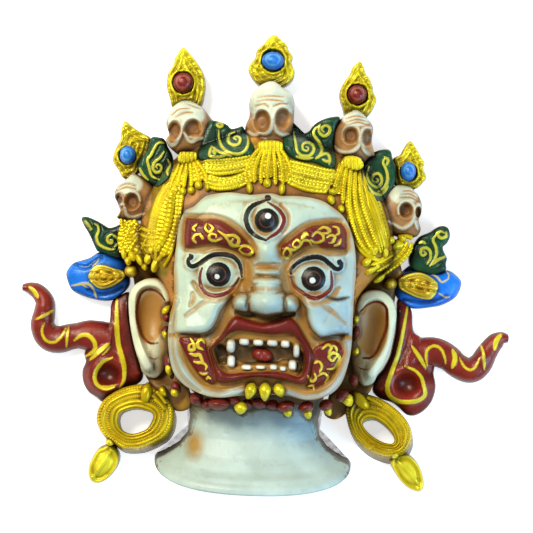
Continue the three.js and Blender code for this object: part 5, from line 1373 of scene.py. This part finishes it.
# Lotuses: a blue flower over each ear with a few folded petals, brushed with fine yellow veins.
# They are cast with the head and painted a strong glossy blue.
# Each has its middle, outline, veins and folds.
LOTUSES = [
    ((-103, -11.3),
     [(-124.6, -10.9), (-123.2, -6.5), (-119.9, -3), (-115, -1.3), (-110.2, 0.5), (-105.9, 3.5),
      (-102.3, 4.5), (-97.3, 3.8), (-91.7, 2), (-88.5, -1), (-86.5, -5.2), (-85, -13.2), (-86.1, -17.5),
      (-89.7, -21.4), (-93.9, -24.8), (-98.7, -26.2), (-104.6, -25.8), (-110.5, -24.6), (-116.8, -22.3),
      (-121.5, -19.1)],
     [(0.8, [(-120.6, -17.5), (-115.7, -16.4), (-110.2, -15.9), (-107, -18.9), (-105, -24.4)]),
      (0.5, [(-104.3, -0.3), (-105.7, -2.8), (-108.1, -4.7)]),
      (0.4, [(-115.1, -16.1), (-110.1, -18.4)])],
     [[(-118.6, -4.5), (-111.8, -5.5), (-106.4, -1.6), (-102.8, 1)],
      [(-110.1, -19.6), (-102.6, -22.4), (-95.2, -20.9), (-89.2, -17.6)]]),
    ((100.5, -9.8),
     [(78.2, -8.7), (81.7, -3.4), (86.5, 1.4), (90.7, 4.2), (95, 5.1), (99.4, 4), (103.8, 1.7), (108.7, 0.6),
      (113.1, -0.1), (117.5, -2.8), (120.4, -6.6), (119.6, -11.6), (117.3, -16), (113.4, -19.2),
      (107.7, -21.9), (100.9, -23.3), (94.8, -24.2), (89.9, -24), (84.8, -21.1), (80.3, -16.7)],
     [(0.6, [(100.8, -2.1), (104.6, -4.1), (107.8, -7.1), (112, -4.8)]),
      (0.6, [(106.2, -14.2), (109.9, -16.2), (113, -16.4)]),
      (0.4, [(110, 0.4), (111.9, -2.6), (111.4, -5.1)])],
     [[(84.1, -1.7), (91.5, 0.7), (98.9, -0.6), (106.3, -1)],
      [(84.7, -19), (93.4, -20.5), (102, -19.6), (110.5, -16.2)]]),
]


LOTUS_LEVEL, LOTUS_RISE = 6.5, 7.5


def lotus_relief(veins, folds):
    """A cushion of petals with two soft folds between them."""
    def relief(x, y, share):
        yellow, cuts = over(x, y, veins), over(x, y, [(0.4, f) for f in folds])
        z = LOTUS_LEVEL + LOTUS_RISE * dome(share, 3) - crease(cuts, 1.2, 1.8)
        return z + crease(yellow, 0.3, 0.3), {"yellow": yellow}
    return relief


lotus_paint = painted("lotus blue paint", (28, 130, 234), second=(20, 108, 208), rough=0.26,
                      stain=(12, 44, 92), grip=0.7, coats=[("yellow", (226, 206, 120), 0.3, 0)])
lotuses = build("lotuses", [outlined(outline, lotus_relief(*lines), 90, m) for m, outline, *lines in LOTUSES],
                lotus_paint)
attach(lotuses, "root")
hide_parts("mask")

# Lotus buds and studs: a gold bud opens out of each flower and a round stud holds it by the ear.
# They are the same clay, painted gold, with long cuts down the bud.
# Each has the bud's middle, outline and middle line, and the stud's middle and radius.
BUDS = [
    ((-100.2, -11.2),
     [(-110.3, -11.6), (-108.3, -6.6), (-104.7, -4), (-99.8, -4.1), (-94.2, -5.8), (-88.6, -7.4),
      (-87.3, -10.2), (-91.4, -14.6), (-96.9, -17.6), (-102.4, -18.7), (-107.1, -16.1)],
     [(-109.4, -10.9), (-102.6, -10.7), (-95.3, -10.4), (-87.9, -9)], (-83.7, -7), 4.3),
    ((94, -10),
     [(80.9, -6.4), (87, -2.8), (94.3, -1.7), (101.2, -4.5), (105.6, -9), (104.6, -13.9), (101, -17.9),
      (94.2, -17.7), (88, -15.4), (81.8, -11.9)], [(82.3, -9.2), (89, -8.9), (96.4, -9.9), (103.8, -10.9)],
     (75.9, -9.3), 4.2),
]


BUD_LEVEL, BUD_RISE = 13.5, 4.6
STUD_LEVEL, STUD_RISE = 14, 9.5


def bud_relief(line):
    """A pointed cushion with petal cuts that follow its edge and an eye-shaped cut round its own line."""
    def relief(x, y, share):
        apart = -nearness(x, y, 0, line, 0)
        z = BUD_LEVEL + BUD_RISE * dome(share, 3) + 0.55 * np.cos(2 * np.pi * (1 - share) * 3.2)
        # The lemon coat towards the edge is dry-brushed paint and a painted highlight.
        return z - 1.1 * bell(apart - 2.2, 0.4), {"bright": (share - 0.75) * 2}
    return relief


def knob_relief(level, rise, power=2):
    """A plain dome over a level, with a lemon coat inside half of its reach: dry-brushed paint and a painted
    highlight.
    """
    return lambda x, y, share: (level + rise * dome(share, power), {"bright": (0.5 - share) * 3})


# The lemon coat is dry-brushed paint and a painted highlight.
bud_paint = painted("bud gold paint", (214, 182, 50), second=(184, 150, 34), metal=0.5, rough=0.3,
                    stain=(110, 84, 22), grip=0.8, coats=[("bright", (244, 222, 84), 0.5, 0.4)])
forms = []
for middle, outline, line, stud, size in BUDS:
    forms.append(outlined(outline, bud_relief(line), 64, middle))
    forms.append(raised(stud, oval(size, size * 0.95), knob_relief(STUD_LEVEL, STUD_RISE), 26))
buds = build("lotus_buds_and_studs", forms, bud_paint)
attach(buds, "root")
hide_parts("mask")

# Ring earrings: heavy rings under the lobes, worked in five ridges of plain wire and beading, with
# a strap over the top. Cast with the ears, leaning away below, and painted gold over brown.
# Each has its middle, outer outline, the outline of its opening and how far its base leans away.
RINGS = [
    ((-77.6, -98.8),
     [(-101.7, -99.5), (-101.3, -93.3), (-99, -88.3), (-95.5, -84.5), (-89.4, -80.5), (-83.4, -77.9),
      (-76, -76.4), (-69.8, -76.8), (-60.4, -82.6), (-55.9, -88.6), (-54.5, -93.5), (-55.4, -101),
      (-58.9, -107.2), (-64.9, -111.3), (-71.6, -114.5), (-77.7, -115.9), (-85.8, -115.6), (-92.1, -111.5),
      (-98.4, -106.8)],
     [(-88.2, -98), (-86.5, -94), (-81.6, -92), (-77.3, -91.5), (-72.4, -92.2), (-68.6, -93.4),
      (-67.3, -95.8), (-68.4, -99.5), (-70.8, -103.3), (-75, -105.5), (-79.3, -106.7), (-83.6, -105.8),
      (-86.8, -103.3)], (1.2, -4.8)),
    ((72, -99.5),
     [(50.6, -86), (52.2, -94.1), (54.9, -101.4), (59.4, -106.8), (64.5, -110.9), (70.8, -113.8),
      (78.2, -115.4), (86, -113), (90.3, -108.2), (92, -102), (90.5, -95.8), (86.6, -90.4), (81.5, -85.7),
      (75.2, -81.6), (68, -78.6), (58, -77), (52, -79.5)],
     [(61.8, -95.4), (64.6, -92.9), (69.2, -92.6), (73.8, -95.2), (78.6, -99.6), (81.4, -104), (80.2, -107.2),
      (75.6, -106.8), (70, -104.2), (64.6, -100)], (2.6, -6.2)),
]


RIDGES, RING_BEADS = 5, 78
RING_LEVEL, RING_CROWN = 16.2, 2.6
# Each strap over a ring: middle, half sizes, turn and level. Each rung on a strap: its path.
STRAPS = [
    ((-71.8, -81.7), (3.6, 6.2), -0.15, 17), ((59.5, -81.4), (4, 8), 0.85, 17),
    ((-61.4, -80.5), (3, 4), 0.5, 15),
]
RUNGS = [
    [(-65.6, -79.9), (-62.4, -83.4), (-59.2, -87.6)], [(-66.7, -84.8), (-62.9, -87.8), (-59.7, -91.3)],
    [(63.1, -79.1), (68, -81.3), (73, -84.2)],
]
STRAP_RISE, RUNG_LEVEL = 6.5, 20.5


def ring_form(middle, outer, hole, lean):
    """A ring with both its edges free: round it runs a section that goes up the bore, over five ridges, down
    the outer side to a base that leans away, and back under. Two of the ridges are cut into beads."""
    angle = np.linspace(0, 2 * np.pi, 320, endpoint=False)
    near, far = reach_of(hole, middle)(angle), reach_of(outer, middle)(angle)
    cos, sin, flat = np.cos(angle), np.sin(angle), 0 * angle
    rows = [(near + 0.6, flat, 0.5), (near + 0.2, 6 + flat, 0.35), (near, 13 + flat, 0.15)]
    for t in np.linspace(0.02, 1, 34):
        bead = np.where((abs(t - 0.5) < 0.1) | (t > 0.8), 0.62 + 0.38 * np.cos(RING_BEADS * angle), 1)
        ridge = 1.5 * abs(np.sin(RIDGES * np.pi * t)) ** 0.8 * bead
        crown = RING_LEVEL + RING_CROWN * np.sin(np.pi * t) ** 0.5
        rows.append((near + (far - near) * t, crown + ridge, 0.0))
    rows += [(far + 0.3, 15 + flat, 0.1), (far + 0.3, 8 + flat, 0.5), (far, flat, 1.0)]
    places = [np.stack([middle[0] + lean[0] * s + r * cos, middle[1] + lean[1] * s + r * sin, z], 1)
              for r, z, s in rows]
    number = np.arange(len(rows) * len(angle)).reshape(len(rows), -1)
    a, b = number, np.roll(number, -1, 0)
    quads = np.stack([a, b, np.roll(b, -1, 1), np.roll(a, -1, 1)], -1).reshape(-1, 4)
    return np.vstack(places), quads, np.zeros((0, 3), int), {}


ring_paint = painted("ring gold paint", (222, 196, 28), second=(196, 166, 14), metal=0.5, rough=0.3,
                     stain=(120, 92, 12), grip=0.8)
forms = [ring_form(*ring) for ring in RINGS]
forms += [raised(m, oval(*half, t), knob_relief(level, STRAP_RISE, 3), 30) for m, half, t, level in STRAPS]
forms += [swept([(*p, RUNG_LEVEL) for p in r], plain(1.1), plain(1.4), 30) for r in RUNGS]
rings = build("ring_earrings", forms, ring_paint)
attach(rings, "root")
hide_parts("mask")

# Pendants: a leaf-shaped drop under each ring, hung from a bead, with a raised rim and a midrib.
# They are cast with the rings and painted gold, with a brown stain left in the cuts.
# Each has its middle, outline and midrib, and the bead's middle and radius.
PENDANTS = [
    ((-97.7, -127.8),
     [(-96.9, -115.4), (-93.3, -113.5), (-90.8, -115.8), (-87.8, -120.7), (-87.9, -126.2), (-90.8, -131.9),
      (-95, -136.3), (-99.8, -138.7), (-104.2, -137.9), (-106.2, -133.6), (-106.1, -128.1), (-103.5, -121.8),
      (-100.6, -117.4)], [(-92.5, -117.6), (-96.5, -124.6), (-100, -130.2), (-102.7, -134.6)],
     (-93.3, -112.5), 2.9),
    ((91, -124.9),
     [(80.8, -115.4), (85.7, -113.7), (90.6, -114.4), (95, -117.4), (98.6, -122.2), (100.7, -128.3),
      (101.2, -133.8), (99.1, -137), (94.5, -136.5), (89.4, -133.6), (85, -128.8), (81.7, -123.4),
      (79.7, -119.1)], [(84.5, -118.2), (89.6, -123), (94.1, -127.8), (98, -132.6)], (82.3, -114.3), 2.9),
]


PENDANT_LEVEL, PENDANT_RISE = 9.5, 4.2
BEAD_LEVEL, BEAD_RISE = 12, 6.5


def pendant_relief(line):
    """A leaf that swells from its rim: a raised border, a groove inside it and a ridge for the midrib."""
    def relief(x, y, share):
        rib = nearness(x, y, 0.5, line)
        z = PENDANT_LEVEL + PENDANT_RISE * dome(share, 4) + crease(rib, 0.6, 1.6)
        z += 0.9 * bell(share - 0.86, 0.006) - 1.0 * bell(share - 0.66, 0.01)
        # The lemon coat on the midrib and over the inner part of the leaf is dry-brushed paint and a painted
        # highlight.
        return z, {"bright": np.maximum(rib, (0.5 - abs(share - 0.3)) * 1.2)}
    return relief


forms = []
for middle, outline, line, bead, size in PENDANTS:
    forms.append(outlined(outline, pendant_relief(line), 60, middle))
    forms.append(raised(bead, oval(size, size), knob_relief(BEAD_LEVEL, BEAD_RISE), 20))
pendants = build("ring_pendants", forms, gold_paint)
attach(pendants, "root")
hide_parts("mask")

# Tufts: little flames of beard round the jaw and beside the ears, red with a gold heart, and three
# gold drops on the chin. They are pressed pellets of clay, stained brown at their roots.
# Each has its head, its tail, its half width and its height over the back.
GOLD_TUFTS = [
    ((-6.8, -73.2), (-9.5, -80.8), 3.2, 56), ((1, -73), (1, -81.7), 3.2, 57),
    ((8.7, -72.7), (11.3, -78.9), 3, 56), ((-13.1, -84.7), (-13.6, -91), 3.6, 45),
    ((-54.4, -78.4), (-52.1, -82.2), 2.2, 34), ((-61.7, -31), (-57.7, -27.3), 2, 30),
    ((-61.3, -43.7), (-57.6, -47.9), 2, 30), ((-57.9, -64.2), (-56.8, -70.4), 2.2, 31),
    ((14.7, -86.8), (16.2, -91.9), 2.4, 43), ((26.8, -87), (28.3, -92.7), 2.4, 41),
    ((38.8, -85.4), (41, -90.5), 2.2, 38), ((50.2, -78.5), (53.6, -84.3), 3.2, 36),
    ((55.2, -30.6), (53.7, -34.4), 1.8, 30), ((55.9, -49.9), (54.4, -53.8), 1.8, 30),
]
RED_TUFTS = [
    ((-41.1, -80.9), (-37.4, -86.5), 4, 40), ((-26.5, -82.7), (-26.4, -89.2), 6.4, 45),
    ((-17.5, -80.6), (-19.2, -85.3), 4.4, 44), ((-1.8, -82), (-3.4, -87.2), 4.4, 44),
    ((13.4, -83.3), (14.8, -89), 5.2, 44), ((25.5, -83.5), (27.6, -89.1), 4.6, 42),
    ((37.6, -82), (39.7, -87.6), 4.2, 40), ((47, -76.2), (49.8, -81.8), 4, 37),
    ((-61.1, -33.4), (-56.9, -37), 2.6, 28), ((-60.2, -41.3), (-62, -46.9), 2.6, 28),
    ((-57.8, -60), (-55.7, -72.3), 3, 29), ((-54.1, -74.9), (-50.4, -79.9), 2.6, 33),
    ((-10.2, -83.5), (-8.2, -88.5), 3.4, 40), ((54.1, -67), (56.3, -73.2), 2.6, 30),
    ((55.5, -37.8), (54.1, -45.3), 2.2, 28), ((-33.7, -83.7), (-32.4, -89.4), 3.4, 40),
    ((6.1, -82.9), (5.7, -88.1), 3.6, 42),
]


WIDEST = 0.36  # share of the run at which a pellet is widest


def tuft(head, tail, half, level):
    """A pellet swept from a round head to a thin tail: it opens as a quarter circle over the first third,
    then thins evenly and closes round at the tip."""
    away = np.subtract(tail, head)
    path = [(*(head - 0.3 * away), level - 1), (*(head + 0.5 * away), level - 1), (*tail, level - 5)]

    def width(t):
        opening = np.sqrt(np.clip(1 - (t / WIDEST - 1) ** 2, 0.04, 1)) * (t < WIDEST + 0.04)
        thinning = (t >= WIDEST) * (1.5 - t) / (1.5 - WIDEST) * np.sqrt(1 - t**6)
        return 1.1 * half * np.maximum(opening, thinning)

    return swept(path, width, lambda t: width(t) * 1.3, 26, 14)


red_tuft_paint = painted("red tuft paint", (126, 40, 28), second=(96, 30, 22), rough=0.3, stain=(74, 46, 26))
for name, tufts, material, kind in [("gold_tufts", GOLD_TUFTS, gold_paint, "gold_paint"),
                                    ("red_tufts", RED_TUFTS, red_tuft_paint, "red_paint")]:
    made = build(name, [tuft(*t) for t in tufts], material)
    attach(made, "root")
    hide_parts("mask")

# Stain: the thin brown wash that the maker wiped over the finished paint, left in every hollow.
# It lies where the surface is lower than the blurred height of all the pieces about it.
GRID = 0.8  # mm between the places of the height map
WIDE = 420  # places along each side of it
FINE, BROAD = 1.3, 4.2  # mm over which the heights are blurred
FINE_FALL, BROAD_FALL = 2.2, 7.5  # mm below the blurred heights that take one full wash
MOST_WASH, STEP_WASH, STEP = 1.4, 0.9, 6  # the most wash, and what a place that far below its cell adds


def blurred(heights, spread):
    """Heights smoothed by a bell curve, as a product of their waves with the bell's own waves."""
    waves = np.fft.rfft2(heights)
    down, across = np.meshgrid(np.fft.fftfreq(WIDE), np.fft.rfftfreq(WIDE), indexing="ij")
    bell = np.exp(-2 * (np.pi * spread / GRID) ** 2 * (down**2 + across**2))
    return np.fft.irfft2(waves * bell, s=heights.shape)


def cell(points):
    """Row and column of each place in the height map."""
    return tuple(np.clip((points[:, i] / GRID + WIDE / 2).round().astype(int), 0, WIDE - 1) for i in (0, 1))


heights = np.zeros((WIDE, WIDE))
for _, points in pieces:
    np.maximum.at(heights, cell(points), points[:, 2])
for step in range(3):
    near = np.max([np.roll(heights, s, a) for s in (1, -1) for a in (0, 1)], axis=0)
    heights = np.where(heights == 0, np.where(near > 20, near, 0), heights)
solid = (heights > 0).astype(float)
fine, broad = (blurred(heights, s) / np.maximum(blurred(solid, s), 0.2) for s in (FINE, BROAD))
for made, points in pieces:
    z, at = points[:, 2], cell(points)
    sunk = (fine[at] - z) / FINE_FALL + (broad[at] - z) / BROAD_FALL
    wash = np.clip(sunk, 0, MOST_WASH) + STEP_WASH * (heights[at] - z > STEP)
    made.data.attributes.new("wash", "FLOAT", "POINT").data.foreach_set("value", wash.astype(np.float32))

# Floor: a plain pale sheet of paper that the mask lies on. It has a faint cloud so that it isn't one
# flat colour, and it glows a little with light of its own: painted light that keeps it white and lifts the
# shade under the mask.
SHEET = 3.0  # metres from its middle to each side
SHEET_GLOW = 0.5
floor_mesh = bpy.data.meshes.new("floor")
floor_mesh.from_pydata([(-SHEET, -SHEET, 0), (SHEET, -SHEET, 0), (SHEET, SHEET, 0), (-SHEET, SHEET, 0)], [],
                       [(0, 1, 2, 3)])
floor = bpy.data.objects.new("floor", floor_mesh)
bpy.context.scene.collection.objects.link(floor)
floor_paint = bpy.data.materials.new("pale sheet")
floor_paint.use_nodes = True
sheet = floor_paint.node_tree.nodes["Principled BSDF"]
sheet.inputs["Roughness"].default_value = 0.8
# The sheet's glow is painted light.
sheet.inputs["Emission Color"].default_value = (1, 1, 1, 1)
sheet.inputs["Emission Strength"].default_value = SHEET_GLOW
floor_cloud = floor_paint.node_tree.nodes.new("ShaderNodeTexNoise")
floor_cloud.inputs["Scale"].default_value = 6
floor_ramp = floor_paint.node_tree.nodes.new("ShaderNodeValToRGB")
floor_ramp.color_ramp.elements[0].color = (0.93, 0.93, 0.93, 1)
floor_ramp.color_ramp.elements[1].color = (0.96, 0.96, 0.96, 1)
floor_paint.node_tree.links.new(floor_cloud.outputs["Fac"], floor_ramp.inputs[0])
floor_paint.node_tree.links.new(floor_ramp.outputs[0], sheet.inputs["Base Color"])
floor_mesh.materials.append(floor_paint)

# Light: a soft key lamp from the upper left, a cool window from the lower right and a pale sky over
# all. Each lamp is a square panel that faces the mask.
# Each lamp: place and size in metres, power and colour.
LAMPS = [("key", (-0.7, 0.75, 1.2), 0.5, 20, (1.0, 0.97, 0.8)),
         ("window", (1.0, -0.4, 0.7), 0.6, 9, (0.4, 0.7, 1.0))]
SKY = 0.38


def lamp(name, place, size, power, colour):
    """A square soft light at a place, turned to face the mask."""
    light = bpy.data.lights.new(name, "AREA")
    light.size, light.energy, light.color = size, power, colour
    made = bpy.data.objects.new(name, light)
    made.location = place
    heading = -np.array(place)
    made.rotation_euler = (np.arccos(-heading[2] / np.linalg.norm(heading)), 0,
                           np.arctan2(heading[1], heading[0]) - np.pi / 2)
    bpy.context.scene.collection.objects.link(made)


for each in LAMPS:
    lamp(*each)
world = bpy.data.worlds.new("sky")
world.use_nodes = True
world.node_tree.nodes["Background"].inputs["Color"].default_value = (1, 1, 1, 1)
world.node_tree.nodes["Background"].inputs["Strength"].default_value = SKY
bpy.context.scene.world = world
bpy.context.scene.view_settings.view_transform = "Standard"
bpy.context.scene.view_settings.look = "Medium High Contrast"

# Camera: straight over the mask, a long lens on a stand, rolled by two degrees as the photograph is.
# Its place is in drawn mm and its lens and sensor in mm.
CAMERA_PLACE = (-0.65, -1.3, 1200)
LENS, SENSOR, ROLL = 130, 36, 2
view = bpy.data.cameras.new("camera")
view.lens = LENS
view.sensor_width = SENSOR
camera = bpy.data.objects.new("camera", view)
camera.location = [c * MM for c in CAMERA_PLACE]
camera.rotation_euler = (0, 0, np.radians(ROLL))
bpy.context.scene.collection.objects.link(camera)
bpy.context.scene.camera = camera
